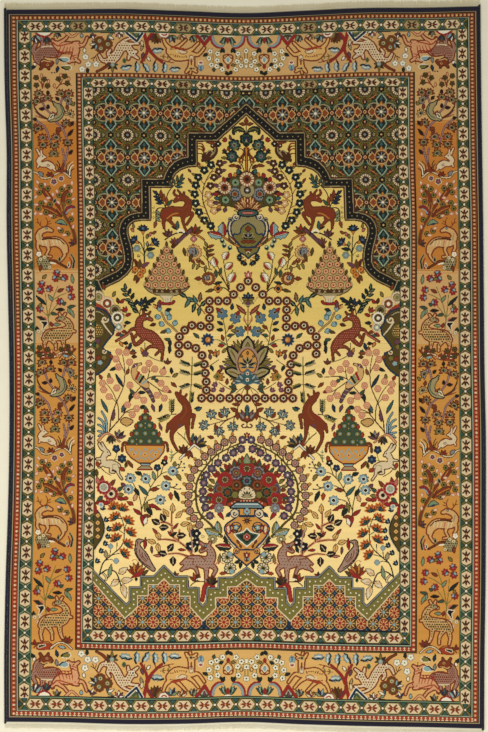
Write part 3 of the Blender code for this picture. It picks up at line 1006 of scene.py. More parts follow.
drawings = {
"upperLeft": """
from 153 248:
stem bottle 1.1 .8: 12.4 -40.4 14.6 -54 19.6 -61 27 -68
leaf green 2.2: 19.4 -61 -30 6.8, 22 -64 -22 6.8, 24.4 -65.8 0 6.8
leaf teal 2.2: 25.6 -66.4 60 6.8, 23.6 -64.4 82 6.8, 22.4 -61.8 96 6.8
leaf green 2.2: 27 -67.6 24 6.8
stem brown 1.1 .8: 12.4 -40.6 8.6 -49 3 -57.4, -13.4 75 -13.8 66 -19.4 55 -27.6 40.6, -13.6 67 -10.6 57 -2 51.8
leaf deepBlue 2.2: 5.4 -53 -52 6.6, 7 -50 -76 6.6, 8.6 -47.4 -84 6.6, 10 -45 -94 6.6
leaf hide 2.8: 8 -50.4 0 7.4
leaf rust 2.8: 10.4 -46.6 6 7.4, 13.6 -43.4 2 7.4
leaf green 2.8: 14.2 -42.6 42 7.4
stem bottle 1.1: 11.4 -39.8 6 -40 3 -36.6 2.8 -26
leaf rust 2.8: 3.2 -26.6 -162 6.6
spiral 1.5 moss .7 1: .2 -40.4 -60, .2 -35.4 -85, .2 -30.4 -100
stem bottle 1.4 .8: -8.7 14 -8.8 0 -10 -15
stem bottle 1.1: -8.8 4 -12 -4 -15.4 -7, -8.6 6 -5 -1.4 -1.4 -4.2
iris: -10 -13.4 0 1.04, -14.2 -4.8 -58, -2.4 -2.4 52
stem moss .8: -8.8 8 -16.1 .4, -8.8 8 -2.4 7.2
petals 2.9 6 grey sage .2 0 .8: -16.1 .4, -2.4 7.2
disc 1.4 skyBlue: -16.1 .4, -2.4 7.2
leaf bottle 2.8: -7 1.6 82 8.4, -24.6 46 22 5.8, -21.6 50.6 24 5.8
leaf rust 2.2: -.6 -14.4 60 4.2
leaf rose 2.2: -19.2 -16.4 -40 4.2
leaf moss 2.2: -19.6 -20 0 4.2, -6.2 -9.6 10 4.2
leaf rose 2.2: -4 -12 30 4.2
leaf sage 2.2: 3.2 -37 128 5, 3.2 -33.4 128 5, 3.2 -29.8 128 5, -6 -2 8 4.2
spiral 1.6 olive .8: -14.6 7.6
leaf brown 3.6 hide: -14.4 20.4 -22 9.8, -14 26.6 -164 9
leaf olive 3.6 hide: -13.6 20.4 4 8.8, -15.4 27 -146 6.6
leaf plum 3.6 hide: -11.6 18.6 62 8.6
leaf orange 3.6 hide: -17 22.8 -110 4
disc 2.7 orange brown .5: -17.6 21.2, -10.1 22.8
disc .94 red: -17.6 21.2, -10.1 22.8
disc 2.9 orange brown .5: -12.8 27
disc 1.01 red: -12.8 27
leaf bottle 2.8 black sage: -27.6 41.6 -4 5.8, -26.6 43.6 -62 5.8, -24.6 47.6 -74 5.8, -22.4 52.6 -78 5.8,
-19.4 56.6 -72 5.8, -17 60.4 -66 5.8, -15.4 64.6 -58 5.8
leaf bottle 2.8: -18 57 20 5.8
leaf deepBlue 2.8: -12 58 -34 5.8, -10.6 56 -12 5.8
leaf bottle 2.8: -8.4 54.6 10 5.8, -5 52.8 96 5.8, -7.6 54.6 112 5.8, -10 57.6 110 5.8, -11.6 61 104 5.8,
-2.4 52 70 5.8
""",
"archTree": """
middle 145:
shape hide brown: 0 -27.6 -1.9 -24 0 -20.4 1.9 -24, -.6 -20.6 -4 -22.6 -6.8 -21.4 -3.6 -19.6, .6 -20.6 4 -22.6
line olive 1.1: 0 -20 0 -12
blob bottle black: -1.4 -13.6 -4.6 -17.4 -9 -18.4 -13.2 -16.2 -13.6 -11.6 -12 -10.6 -11.2 -13.6 -8.4 -14.8 -5 -13.6
shape bottle: -8.6 -15 -6.8 -12 -5.8 -15, -11.6 -14 -9.8 -11.6 -9 -14.6
stem moss 1.1 .8: -3 -14.8 -7.6 -16.6 -11.8 -14.4
line brown 2.8: 0 1 0 26
line orange .9: 0 4 0 25
stem brown 1.8 1.1 orange: -1.6 3.6 -2.4 8 -4 11 -6.6 14 -6.8 16.6 -5 17
stem brown 1.4 .8: -1.4 9 -3.6 14 -4 18 -6 21
stem brown 1.1 .8: -1 7 -5 4 -9 2, -1 16 -6 13 -11 12, -2.6 26 -5 20 -10 16
petals 6.4 7 bottle black: 0 -5.8
petals 5 9 green black .36: 0 -5.8
disc 2.6 deepBlue black: 0 -5.8
shape khaki: -1.2 -3 0 -6.6 1.2 -3
petals 6 7 bottle black .25: -12 .2, -14.4 11.8
petals 4.4 7 teal black .4: -12 .2
petals 4.4 7 green deepBlue .4: -14.4 11.8
blob moss: -8 2.4 -10 5 -13 5.4 -11 3
disc 1.3 brown khaki: -12 .2
disc 1.3 plum grey: -14.4 11.8
tulip 2.3 red - brown -: -20 -3.6 -50, -20 7.4 -70
leaf plum 2.2: -15.4 -5.2 -16 4.6
leaf bottle 2.2: -20.4 9 -40 4.6
leaf hide 2.2: -17.6 6 -10 4
leaf moss 2.2: -20 13.6 -84 5
leaf hide 2.8: -5.6 23.4 -66 7, -10.6 20.6 -96 7
leaf brown 2.2: -6 24 -40 5
floret 2.8 black ivory brown 4: -28.2 -.8
""",
"upperWreath": """
from 208 196:
stem brown 1.4 .8: 6 35 -.6 17.6 -5.2 4 -4.6 -8 -.4 -18.6 6.6 -29
stem hide .8: -4.8 0 -8.4 -6 -10.8 -7.8, -5 8 -1.4 4 1 2.8, -4.6 -6 -1 -11 1.4 -12.5, -2 -15 2.2 -19 5 -20.2,
1.6 -23 6.4 -25 9.6 -25.6, -2.6 12 -6.8 10 -9.6 9.4, -4 -12 -8.2 -17 -11 -18.5, -1 18 -5.2 17 -8 16.7
floret 3.5 brown ivory: 11.7 -32.6, 10.7 -24.6, 6 -18.6, 2.3 -10.2
floret 3.5 tan ivory hide: .4 -1, 2.6 7.4, 6 14.6
leaf plum 2.2: 14.3 -33.2 80 4.6, 13.3 -25.2 80 4.6, 8.6 -19.2 80 4.6, 4.9 -10.8 80 4.6, 3 -1.6 80 \
4.6, 5.2 6.8 80 4.6,
8.6 14 80 4.6
leaf moss 1.6: .4 -32.8 -60 4.2, -6.3 -27.4 -60 4.2, -12.3 -20.4 -60 4.2, -14.7 -12.4 -60 4.2, -15.8 -3.4 -60 4.2,
-15 5.6 -60 4.2, -11.5 14.6 -60 4.2
floret 3.8 bottle ivory: 3 -31.2, -3.7 -25.8, -9.7 -18.8, -12.1 -10.8, -13.2 -1.8, -12.4 7.2, -8.9 16.2
leaf moss 1.6: -6.2 22.6 -60 4.2
floret 3.8 bottle ivory: -3.6 24.2
leaf moss 1.6: .1 28.2 -60 4.2
floret 3.8 bottle ivory: 2.7 29.8
leaf hide 1.6: -17.4 -24 -40 3.6, -8 -30.8 -40 3.6, -17.2 -14.6 -40 3.6
spiral 1.7 orange .7: -6.6 -31
""",
"rooster": """
from 208 153:
limbs brown black: -1.6 3.8 4 2.4 2.4 3.6 6.4 -.6 2.4 8 -4.2 1.3 5 -7.2 1.9, -1 5 2.4 -5.4 7.4 1
stem hide 1.1 1.8: -10 -9.6 -5.8 -9 -3.6 -4
stem brown 1.1 1.8: -10.4 -7 -6.2 -6.4 -4 -2.4, -10 .4 -5.8 1 -3.6 3
stem hide 1.1 1.8: -10.6 -4.2 -6.4 -3.6 -4.2 -.6
stem khaki 1.1: -1.6 .6 1.2 -2.6 4.8 -1.2 3.6 1.4
stem khaki .8: 7 -5.4 6.6 -1 2.6 3.6
shape hide brown: 1.6 -9.8 -1.2 -10.4 3.4 -11 6.4 -9.8 5.6 -8
disc .6 ivory: 4.4 -7.4
line brown .8: -.4 7 -1 9
""",
"upperBouquet": """
middle 195:
blob olive bottle .8: 1 -21 -12 -18 -20 -8 -24 6 -14 12 1 12
leaf bottle 3.6: -13 -8 -20 6, -17 -12 -30 6, -6 -20 -20 6, -26 -1 -70 6
sheaf: 0 15.6
petals 6.4 12 olive bottle .12: -11.6 -12.4
petals 3.8 9 sage olive: -11.6 -12.4
petals 6.8 14 grey deepBlue .14: -12.4 -.8
petals 4.6 10 deepBlue grey .24: -12.4 -.8
petals 2.4 7 hide khaki .2: -12.4 -.8
petals 6.8 12 olive bottle .12: -22 5.2
petals 3.9 9 sage black: -22 5.2
daisy 6.2 cream hide brown 13 rust: -22.6 -7.2
petals 7.2 14 khaki olive .1: 0 -4.8
disc 3.7 black: 0 -4.8
disc 1.9 grey brown: 0 -4.8
disc .8 ivory: 0 -4.8
daisy 7 cream hide brown 14 rust: 0 -15.8
disc 1.3 black: 0 -15.8, -22.6 -7.2, -11.6 -12.4, -22 5.2
bud 4.8 3.4 red brown: -22 -13 -20, -29 0 -80, -17 -17 6
bud 4.6 3 plum brown: -29 -8 -60, -29 8 -100, -22 13 -160
bud 5 3 teal: -28 4 -84, -8 -21 -10
bud 4.4 2.6 orange brown: -12 -18 8, -27 11 -130
""",
"upperVase": """
middle 232:
blob cream deepBlue 1.4: 1 -18 -7 -18 -11.6 -15.6 -17.4 -11 -19.4 -4.6 -18.2 3.6 -14 9.8 -7.4 16.4 1 18
blob khaki deepBlue 1.4: 1 -17 -5.6 -16.8 -8.6 -12.8 -14.6 -9.4 -16.4 -3.6 -15 3 -11.4 8.6 -6.4 14.4 1 15.6
fleck moss 2 .6 .6:
shape moss deepBlue 1.1: 0 -8.4 -4.4 -5.8 -6.4 -3 -7.4 1.4 -10.6 3.6 -13.4 2.4 -14.6 5 -11.4 8.6 -6.4 14.4 0 15.4
scroll 3.6: -12 -14.8
scroll 2.4 khaki: -17.8 -12.4
oval 9.6 3 teal black 1.1: 0 -19.2
oval 6.4 1.2 rose brown: 0 -19.2
shape hide brown: 0 -6 -2.6 -3 0 -.4 2.6 -3
leaf black 2.8 khaki: 0 5.4 -88 5.6, 0 5.4 88 5.6, 0 5.4 -50 6, 0 5.4 50 6
leaf grey 2.8 black: 0 5.4 0 5.8
line black 1.1: -6 6.8 6 6.8
leaf hide 2.8: -1.6 10 -86 5.6
shape moss deepBlue 1.3: 1 16.4 -10.2 16 -8.6 19.8 -3 22.8 0 25.6 1 25.6
shape hide brown: -3.4 8.4 0 11.4 3.4 8.4, -3.4 17.6 0 21.4 3.4 17.6
line ivory .7: -1.8 21 0 19.4
halfLeaf 14.4 red skyBlue bottle: -24.8 4.8 -8
halfLeaf 15 red skyBlue bottle .21: -25.8 4.6 -82
stem orange 1.4 .8 brown: -9.6 14.6 -17 10.6 -25.4 4.6
halfLeaf 10 hide olive brown .2: -12.6 11.6 -48
bud 4.4 3.6 black sage ivory: -26 11.4, -24.4 16 10, -19.2 18.2 20
""",
"roundFlowers": """
from 207 268:
tuft hide/olive/red/olive/hide 9 66: -11.4 -34.6
stem brown 4.4: -16 -38.4 -25 -30.4 -34 -21.4
stem plum 2.4: -16.4 -37.6 -25 -29.8 -31.6 -24
tuft rust/plum/rust/plum 7 40: -31.6 -23.4 -20
stem bottle 1.4: -42 -28.4 -35.6 -32.6 -27.4 -35.6 -20.6 -34.2
tuft brown/plum/brown/plum 7.6 46: -38.6 -31.4 -12
leaf teal 3.6: -30.4 -38.4 8 8.4
leaf black 2.2 none: -31 -38.2 -52 6.6
stem ivory 1.8: -29 -36 -26.4 -38.4 -23 -35.8
stem orange 1.1 .8 brown: -15.6 -34 -9.4 -32.6 -3 -28.4
floret 2.8 rose ivory plum 4: -13.4 -29
stem brown 1.1 .8: 2.4 0 .4 -11 .4 -24, 4.6 1.6 -5.7 -.9 -14 -5.4, 21.8 22 15 8 9 -6, 21.6 20 18 4 16.6 -8,
22.4 21 22 10 26 2, 21.8 20 9 2 -4 -13
leaf hide 2.2: 1 -20.6 66 6.2, 1.2 -12.4 74 6.2
leaf olive 2.2: .8 -16.6 72 6.2
leaf moss 2.2: .2 -21 -24 6.2, .6 -16 -38 6.2
leaf olive 2.2: 1.2 -10.4 -14 6.2
leaf rust 2.2: -3 -3.4 -44 6.2, -8 -4.8 -34 6.2
leaf moss 2.2: -7.4 -4 -150 6.2, -12.4 -5 -160 6.2, -1 -2.4 -170 6.2
leaf hide 2.2: -12.4 -5.2 -50 6.2
rayFlower 7.4 tan khaki bottle 14 rust: -12.8 -15.8
petals 4 6 grey deepBlue .3: -14.4 -16.6
disc 1 plum: -14.4 -16.6
stem black 1.1: -11.6 -18 -10.6 -14
spiral 1.6 rust .8: -13.6 -23.4
stem brown .8: -8.4 -10 -2 -4
rayFlower 6.6 rust tan hide 16: 1.6 10.6
leaf skyBlue 2.8: .6 12 -40 5
leaf grey 2.2: .6 12 10 5
leaf hide 3.6: -5.6 10.6 -92 6.4
spiral 1.7 gold .8: -7.2 15
halfLeaf 8.6 red ivory moss .34: 9.4 -1.8 -28 1.1, 17.4 -8.4 18, 19.6 1.2 34, 23.4 14.2 16 1.2
leaf green 2.8: 8.6 2 172 7.4, 12.4 7 14 7.4
leaf bottle 2.8: 7.6 16 74 7.4
iris black: 36.6 -10.4 -88 .7, 39 -8.4 -146 .7
floret 3.8 orange deepBlue brown 4 black: 11 20.6
leaf olive 2.8: 6.8 21.6 -106 8.4, -23.2 -20 170 8, -14.8 -14 -160 8
stem bottle 1.4 .8: 22.4 23.6 17.6 20 12 20
stem rust 1.1: -2 46 -8 38 -14.6 32.4 -20 30
leaf teal 3.6 black sage: -13.2 33.6 -60 9, -10.2 35.8 -24 9, -17 31.8 -146 9
leaf hide 3.6 brown sage: -7.4 33.6 6 9
leaf green 3.6 brown sage: -7.4 38.6 -174 9
leaf bottle 3.6 black sage: -12 35.6 -164 9, -6.6 38 48 9, -20.6 29.2 -60 9
""",
"standingDeer": """
from 177 211:
limbs hide brown: -11.4 1.8 4.4 -6 .4 4.8 1 .6 4.6 8.2 1 5,
9.4 -1 4.2 11.4 -7.4 3.2 8.4 -12.4 2.8 2.4 -13 2.7 -2.4 -9.8 1.2, 10.6 2.4 2.4 15.4 2.6 1.4 13.6 7.4 1 9.8 13.2 .9,
6.4 4.4 2.6 6 10 1.2 7.6 16 .8 9.8 20.6 .7, -10.6 5 3.6 -13.4 10 1.7 -12.8 17.2 .8,
-8.6 5.4 3.6 -7 10 1.5 -1.6 15.4 .8, -14.2 .6 1.6 -15.8 6.4 .7, 0 -14.6 .9 -3 -17.4 .7 -2.4 -20.8 .5,
3.4 -15 .9 3.2 -17.8 .7 .8 -20.8 .5, 6.2 -14.4 1.2 7 -18.4 .7
stem red 1.1: -13.4 5.8 -9 1 -3 -1.4
stem orange 1.1: -10 7.6 -4.6 3.4 1 2.2
stem rust 1.1: 0 -2.4 7 -2 10.6 -7
stem rust .8: 9.4 5 11.8 -1 12.6 -6
disc .8 rose: 1.4 -13.4
""",
"upperDish": """
from 166.6 274:
peachFruit: 0 -23.7, -3.8 -16.8, 3.8 -16.8, -7.5 -9.6, 0 -9.6, 7.5 -9.6, -11.3 -2.7, -3.8 -2.7, 3.8 -2.7, 11.3 -2.7,
-15 4.1, -7.5 4.1, 0 4.1, 7.5 4.1, 15 4.1, -18.8 11, -11.3 11, -3.8 11, 3.8 11, 11.3 11, 18.8 11
leaf olive 2.2: 0 -27.6 0 4.6, -4.4 -20 -16 4.4, 4.4 -20 16 4.4, -8.2 -12.6 -16 4.4, 8.2 -12.6 16 4.4,
-11.8 -6.2 -16 4.6, 11.8 -6.2 16 4.6, -16 .4 -16 4.6, 16 .4 16 4.6, -19.6 7.6 -16 4.4, 19.6 7.6 16 4.4
shape khaki brown .8: -21.8 12.6 -18.4 16.6 -9.8 20.8 9.8 20.8 18.6 16.4 22.4 12.6 18.6 15.4 1 17 -17 15.4
leaf brown 2.4: -12.4 18.6 0 3.6, -7.4 18.6 0 3.4, -1.6 18.6 0 3.6, 1.6 18.6 0 3.6, 7.4 18.6 0 3.4, 13 18.6 0 3.6
line olive .9: -13 18.6 14 18.8
shape cream khaki .8: -6.2 21.8 6 21.8 3.4 25 3.4 28.4 -3 28.4 -3 25
line grey .6: -.7 24.6 -.7 28, 1.2 24.6 1.2 28
stem red 1.8 1.8 brown: -6.8 27.4 -5 29.2 .3 29.8 5.6 29.2 7.2 27.4
""",
"edgeFlowers": """
from 109 330:
leaf moss 2.8: 3.6 -33.6 30 5.6
leaf brown 2.8: 9.6 -26.6 -16 5.6, 15 -13.4 -50 5.6
leaf red 2.8: 11.4 -27 44 5.6, 16.6 -14.4 70 5.6, 7 5.4 60 5.6
leaf olive 2.8: 11.4 -2.6 70 5.6
leaf bottle 2.8: 15.6 -7.4 90 5.6
leaf hide 2.8: 12.6 .6 110 5.6, -4.4 -40.4 -20 5.6
leaf teal 2.8: 10 4.8 100 5.6
rayFlower 6 cream khaki moss 14 khaki: -10.6 -33
rayFlower 6.8 cream rust ivory 14 peach: -1.8 -26.6
rayFlower 5.2 khaki olive black 12 olive: 6.2 -19.8
rayFlower 4.8 cream paleGreen ivory 10 peach: 9.6 -3
rayFlower 6.2 ivory olive ivory 16 khaki: 8.4 -12.4
tulip 3 red - brown teal: 17 -18 -30
blob brick rust: -21 -28 -12 -26 -5 -22 1.6 -14 -3 -10 -21 -14
shape olive deepBlue 1.4: -23 -22 -13 -21.6 -5 -19 .4 -13.4 1.4 -7.4 4.6 -3 3.4 3.4 -2.6 10.4 -7.4 \
17.4 -5 20.8 .6 23.2 1.4 29 -1.2 34.6 -5.8 39.4 -11.8 43.6 -23 46
blob olive moss: -19 -5.6 -10.4 -5.2 -6.4 -1 -7.4 4.6 -13 6 -19 4
fleck gold 2.2 .6 .3:
petals 2.6 5 plum brown .3: -11 11
petals 2.6 5 hide brown .3: -10.4 28
petals 2.6 5 moss brown .3: -5 27.6, -12 16
petals 2.6 5 skyBlue brown .3: -9 32.6
stem khaki 1.8 1.1 black: -17 -18.6 -11 -18.4 -5.4 -15.4
spiral 3.5 cream 1.6 1.3: -4.2 -10.8
stem cream 1.8 1.1: -7 -8.6 -3 -2.4 2.6 4.4
spiral 2.4 cream 1.2 1.1: -5 21.4
""",
"blueDrops": """
from 164 318:
stem tan .8 .8 brown: 13 13.6 7 7.8 1.4 3 -2.4 -5.4
bud 5.6 4.4 skyBlue teal blue: -4.3 -7 -10, -3.6 -.6 -80, 1.4 -3.2 40, 4 1.6 30, 0 7.4 -60, 10 7.6 20, 6.6 13.8 -70
leaf bottle 2.8: 1.8 -7.8 78 5.6
leaf hide 2.8: -6.6 -9.4 -40 5.6
leaf brown 2.8: -8.4 6 -106 5.6
leaf olive 2.8: 2 13.4 -104 5.6
leaf plum 2.8: -4 -10.6 -20 5.6
spiral 2 gold .9: -10 -11.6
""",
"leapingDeer": """
from 142 337:
stem moss 1.1 .8: 5.4 18.4 14 22.8 25.4 26
stem moss .8: 2.8 15.4 2.8 5.6
limbs hide brown: 4 -20.4 2.9 -2 -17 3.2 -2.8 -9 3.9 1 -4 5 9 -.6 5.4 16 5.6 4.4 19 10.6 3.4,
4 -20.4 2.8 9.6 -17.2 1.3, 1.6 -22.4 1.1 1.4 -26.2 .6, 6 -22.2 1 8.2 -25.2 .6,
-3.4 -7.6 1.8 -10 -7.8 1.2 -15 -2.6 1 -25.8 4 .8, 1.6 1.4 1.9 -6.6 7.6 1.4 -10.4 -3 .9,
19.6 10.6 2.6 20.4 17 1.1 19.8 22.4 1, 16.6 9.4 2.2 9 9.4 1.2 4.8 11.8 .8, 17.6 13.8 1.1 13.4 18 .6
fleck rose 2.2 .5 1:
disc .9 ivory brown: 5.2 -20.8
stem rose .8: -24 3.2 -14.4 -2.4 -11 -5.4
petals 3.2 6 plum brown .3: 2.9 16.4
leaf orange 2.2: .6 15 -20 4.4
tuft hide/plum/hide 5.4 50: 25.6 27
leaf bottle 2.8: 28.2 9 -6 7.4, 27.4 16 2 8.4
leaf green 2.8: 28.4 3.4 -76 6
leaf rust 2.8: -7.6 1.4 24 5.6
leaf orange 2.8: -22 4.6 150 5.6
leaf deepBlue 2.8: -11 6 -164 7.4
leaf black 2.8: -14.2 6.4 -84 4.4
leaf teal 2.8: -9.6 12.6 150 5
""",
"lotus": """
middle 361:
blob grey plum .8: 1 -14 -9 -11 -14 -3 -15 5 -12 12 -7 16 1 18
leaf plum 6: 0 5 -14 26.5, 0 5 -37 26.6
leaf moss 6 brown hide: 0 5 -22 28, 0 5 -30 28.4
leaf grey 6 brown plum: 0 5 -64 22, 0 5 -87 23.4, 0 5 -122 20.6, 0 5 -146 21
leaf moss 6 brown hide: 0 5 -72 23.6, 0 5 -80 25.4, 0 5 -96 23.6, 0 5 -130 21.6, 0 5 -138 21.8
blob khaki black 1.6: -10 2.4 -9.4 -4.6 -12.4 -10.2 -19.4 -13.4 -17 -5 -13 1.8,
-20.8 9.4 -14.6 7.8 -8.8 10.8 -6.2 16.8 -12.6 15.8 -18.6 12.6
stem moss 2.4 1.1: -16.6 -10.4 -13.4 -5 -11.4 .6, -17.4 10.8 -12.6 12 -8.6 15
stem hide .8: -15.4 -8.6 -12.6 -4, -15 11.4 -10.6 13.4
shape khaki black 1.4: 0 -23.8 -3.8 -19.4 -5.6 -14.6 -4.8 -10.6 4.8 -10.6 5.6 -14.6 3.8 -19.4
shape moss brown: 0 -18.6 -2 -15 -1.6 -12 1.6 -12 2 -15
blob dusk: 0 -14.6 -6 -12.4 -10.8 -5 -11.4 3 -8.6 11.4 0 14 8.6 11.4 11.4 3 10.8 -5 6 -12.4
blob amber brown .8: 0 -11.6 -4 -9.8 -8.4 -2.6 -8.8 4 -6.6 9.8 -3.6 10.6 0 7.4 3.6 10.6 6.6 9.8 8.8 4 8.4 -2.6 4 -9.8
leaf moss 1.6: 0 -6.4 0 3.4, -5.4 -3.6 -30 3.4, -6.6 2.6 -70 3.4
leaf black 2.6 khaki: 0 5 0 9.6, 0 5 -32 9.6, 0 5 32 9.6, 0 5.4 -64 9.6, 0 5.4 64 9.6
leaf deepBlue 1.8 khaki: 0 6 -96 7, 0 6 96 7
disc 1.1 cream: 0 4.4
blob teal blue .8: 0 9 -3 13 -9.6 17.4 -12 22.6 -6 21.6 0 23.6 6 21.6 12 22.6 9.6 17.4 3 13
leaf skyBlue 2.2: -4.4 18.8 -40 6.6, -6.4 21 -74 6.6
disc 1 red ivory: 0 12.6, 0 19
shape red brown: 0 24 -3 26.4 0 30.4 3 26.4
""",
"chainGarden": """
from 224 344:
line olive 1.6: 23.6 42 24 51
line hide .8: 24 -41 24 -10
leaf deepBlue 3.6 black blue: 24.1 -43.4 -62 6.5, 24.1 -43.4 -34 7.4, 24.1 -43.4 0 8.4, 24.1 -43.4 34 7.4,
24.1 -43.4 62 6.5
leaf moss 2.8: 24.1 -43 -70 6, 24.1 -43 70 6, 24.1 -43 -116 6, 24.1 -43 116 6, -1.6 8.6 40 5.6
bud 6 3.6 plum brown: 24.1 -37
leaf hide 3.6 brown rose: 21.6 -29.8 -44 13
stem khaki .8: 24 -38 19 -41 14.6 -47
stem brown .8: 22.4 -32 20 -25.6 23.6 -17.4, 13.6 45.4 5 44.8 -5 38.6
spiral 2.2 rose .8: 20.6 -24.2
tulip 3.2 hide rose brown orange: 23.9 -13
stem olive 1.1 .8: 4.4 6 2 -6 1 -16 -1.4 -26.4
stem olive .8: 23.4 42.4 17.5 44.6 12 49.4, 23.4 42.4 20.3 44.6 17.6 49.4, 1.6 -10 5.4 -16 10 -22.4,
2.6 -2 7.4 -7.6 13.6 -10.6, -15.4 22.6 -10.6 19.4 -5 15.6
blueBell: -1.8 -30.2 -34, 11.4 -25.8 38
blueBell moss: 15.4 -12.4 -70
leaf deepBlue 2.8: 7.6 -34.4 8 5.8, -1.4 -19.4 -60 5.8
leaf bottle 2.8: -1.2 -13.8 -84 5.8, -13.2 21.6 156 5.6
leaf green 2.8: 3.6 -8 74 5.8, -25 -6 -50 7.4, 12 44.6 -130 7.2, 12 44.6 -70 7.2, 12 44.6 -40 7.2
leaf sage 2.8: 1.4 .4 -84 5.8
leaf red 2.8: 0 1.4 -96 5.8
stem olive .8: -12 -4.4 -5.4 -4 3.6 1.4
petals 6.2 11 deepBlue blue .3: -16.4 -4.2
disc 2.6 orange brown: -16.1 -4.2
disc 1.1 gold: -15.2 -4
tulip 3.4 orange deepBlue brown black: -7.4 12.4 -10 1.1, -6.4 33 90 1.1
leaf plum 2.8: -13.6 15.2 -8 5.6, -4.4 22 120 5.6
leaf hide 2.8: 4.4 -15.6 60 5.8, -.6 -3.6 -16 5.8, -7 28.4 64 5.6, 2.8 40.4 4 5.6
leaf rust 2.8: -11 9 -60 5.6
floret 3.4 moss black orange 4: -6.8 32.6
tulip 2.8 plum rose plum -: -7.6 42.2 -40 .9, -9.2 47.4 -40 .9, -.4 47.6 -40 .9
""",
"chainFrame": """
from 214 338:
chainLink: 34.4 -57, 26.6 -50.6, 19.6 -43.6, 13 -37, 4.3 -37, -4.5 -37, -4.5 -28.4, -4.5 -19.8, -4.5 -11, -13.2 -12,
-22.1 -12.6, -29.2 -7.8, -34.6 -1.2, -35.2 7.2, -34.9 15.6, -26.2 7.4, -18.2 10.2, -12 17.4, -9.8 26.2, -8.8 35,
-7.8 43.8, -7.6 52.2, -12.4 60.2, -3.1 60.2, 6.2 60.2, 15.5 60.2, 24.8 60.2, 34.1 60.2
tulip 3.2 rose ivory red hide: 34.2 -60.4 0 1.1
""",
"underChain": """
from 223 428:
bud 8.4 4 blue deepBlue: 24.4 -14.4
leaf hide 4.6 brown rose: 24.3 -6.4 -52 11
leaf plum 4.6 brown rose: 24.3 -6.4 -27 13, 24.3 -6.4 27 13
leaf grey 2.8: 24.3 -6.4 -42 12
leaf teal 3.6: 24.4 -9 0 12
bud 7 5.4 hide brown peach: 24.3 -5.4
stem brown 1.4: 24.4 -6 23.4 -1.4 20.4 -.4 18.6 -2.4 20.6 -3.8
stem brown 1.1: 18.6 -26.4 14.6 -20.4 14.6 -12.6
leaf hide 3.6: 14.6 -8.6 -6 9.6, 14 -16.6 -62 7
stem brown 1.1 .8: 14 -13.4 7 -9.4 1.4 -7.2 -9.4 -10, 9 -10.4 -1 -6.6 -13.4 -3.2, 3 -7.4 -2 -3 -3.6 .4,
11.4 -11.4 10.6 -6.4 9.8 -4, 4.6 -8.6 3 -11.6 2 -13.4
starLeaf: -11.6 -13.8 -20, 1.6 -15.8 -6, -19 -2.8 -66, -4 3.4 -170, 9.8 -1.2 178
leaf deepBlue 2.8: -22.4 -20 -96 6
leaf teal 2.8: -26.6 -17.4 60 6
leaf hide 2.8: 16.4 -23.2 -84 7, -9.4 10 -76 6, -1.4 -10.2 -30 6, -7.6 -3.4 170 6
tuft deepBlue/khaki/deepBlue/khaki/deepBlue/moss/bottle 11 72: -25.4 18 14
""",
"blossomTree": """
from 138 396:
stem brown 1.4 .8: -28.4 35.6 -26.6 21 -21.4 6 -14.4 -10 -13.2 -26 -15.4 -41.4, -28 34 -19 24 -11.6 15.6 -2.6 12.4,
-14 16.6 -7 3 1 -7.4 9.6 -17.4 11.6 -30
stem brown 1.1 .8: -19.4 24 -20 10 -25.4 -4 -32.6 -13.4, 10 -17.6 18 -20 32.6 -19, 8 -16 18 -8.6 26.6 -3.6,
20 -7.4 23 -2.4 25.6 1.4, -13.4 -24 -18 -33.4 -20.4 -38
stem brown .8: -13.4 -20 -9.6 -28 -8.4 -33.4, -21.6 6.6 -25.4 2.6 -28.6 .6, -5 1 -9.6 6 -10.8 8.6,
-12 16.2 -7.6 16.4 -5.6 18.4, 12 -24.6 15 -25.8 16.8 -27, -3.6 -1 -1.2 .2 6 3.6
leaf deepBlue 2.8: -15.4 -9.4 -30 14, 23.6 8.4 -164 7.4
leaf moss 2.8: -29.2 -17 2 5.6, 34.6 -19.4 60 6
leaf red 2.8: -36.2 -17 -30 4.6, 29 -5.4 110 4.4
leaf bottle 2.8: -21 -28.4 -110 7.4, 33.6 -22.6 -6 5.6, -8.6 4 14 7.4
leaf brown 2.8: -6 -39.4 90 4.6
leaf rust 2.8: -11.4 -22 24 5.4, -25 -38 -50 5, -11.4 -45 0 4.6, -9 -43.4 90 7
leaf hide 2.8: 33.4 -13.4 130 6.6
leaf green 2.8: 17 -17 130 6, 13.6 -16.6 50 5, -3.6 -1.4 -40 7, 5 9.4 140 9
leaf bottle 2.8: .6 -3.6 90 6.4, 2 12 62 5
leaf plum 2.8: 14 8.4 160 7.4, -25.4 24.4 8 11, 25.6 -24 6 5
leaf teal 2.8: -30.4 16 -28 14, -16 16 16 8
blossom: -21.9 -37.1, -19.2 -44.2, -11.6 -43.6, -19.4 -29, -8.4 -34, -27.9 -15.4, -34.3 -6.2, -21.2 -8.1, -28.9 .6,
-8 -10.8, 6.7 -26.2, 11 -32.6, 16.8 -27, 25 -24.1, 23 -12.7, 27.8 -6.7, 19 -.7, 26.3 2, -1.1 0, 5.8 4.2, -10.6 8.8,
-1.4 12.6, -5.8 18.6, -35.6 -13
stem skyBlue 1.8 .8 deepBlue: -31.4 37.4 -35 26 -39.6 22, -31.4 37.4 -35.6 31 -40 28.6, -31.4 37.4 -37 35.6 -40 35,
-31.4 37.4 -32 24 -36.4 15.4, -31.4 37.4 -37 38.6 -39.4 40
stem peach 1.8 .8 hide: -39.4 44.6 -33 38 -27 39 -18.4 45.6
tuft green/bottle/green/bottle 8 36: -27 39.6 -180
tuft plum/grey/bottle/plum 8.6 50: -19.6 42 22
blob gold brown .8: -17 25.6 -13 22 -5.4 25.2 -11 29.6
fleck brown 2 .5 0:
""",
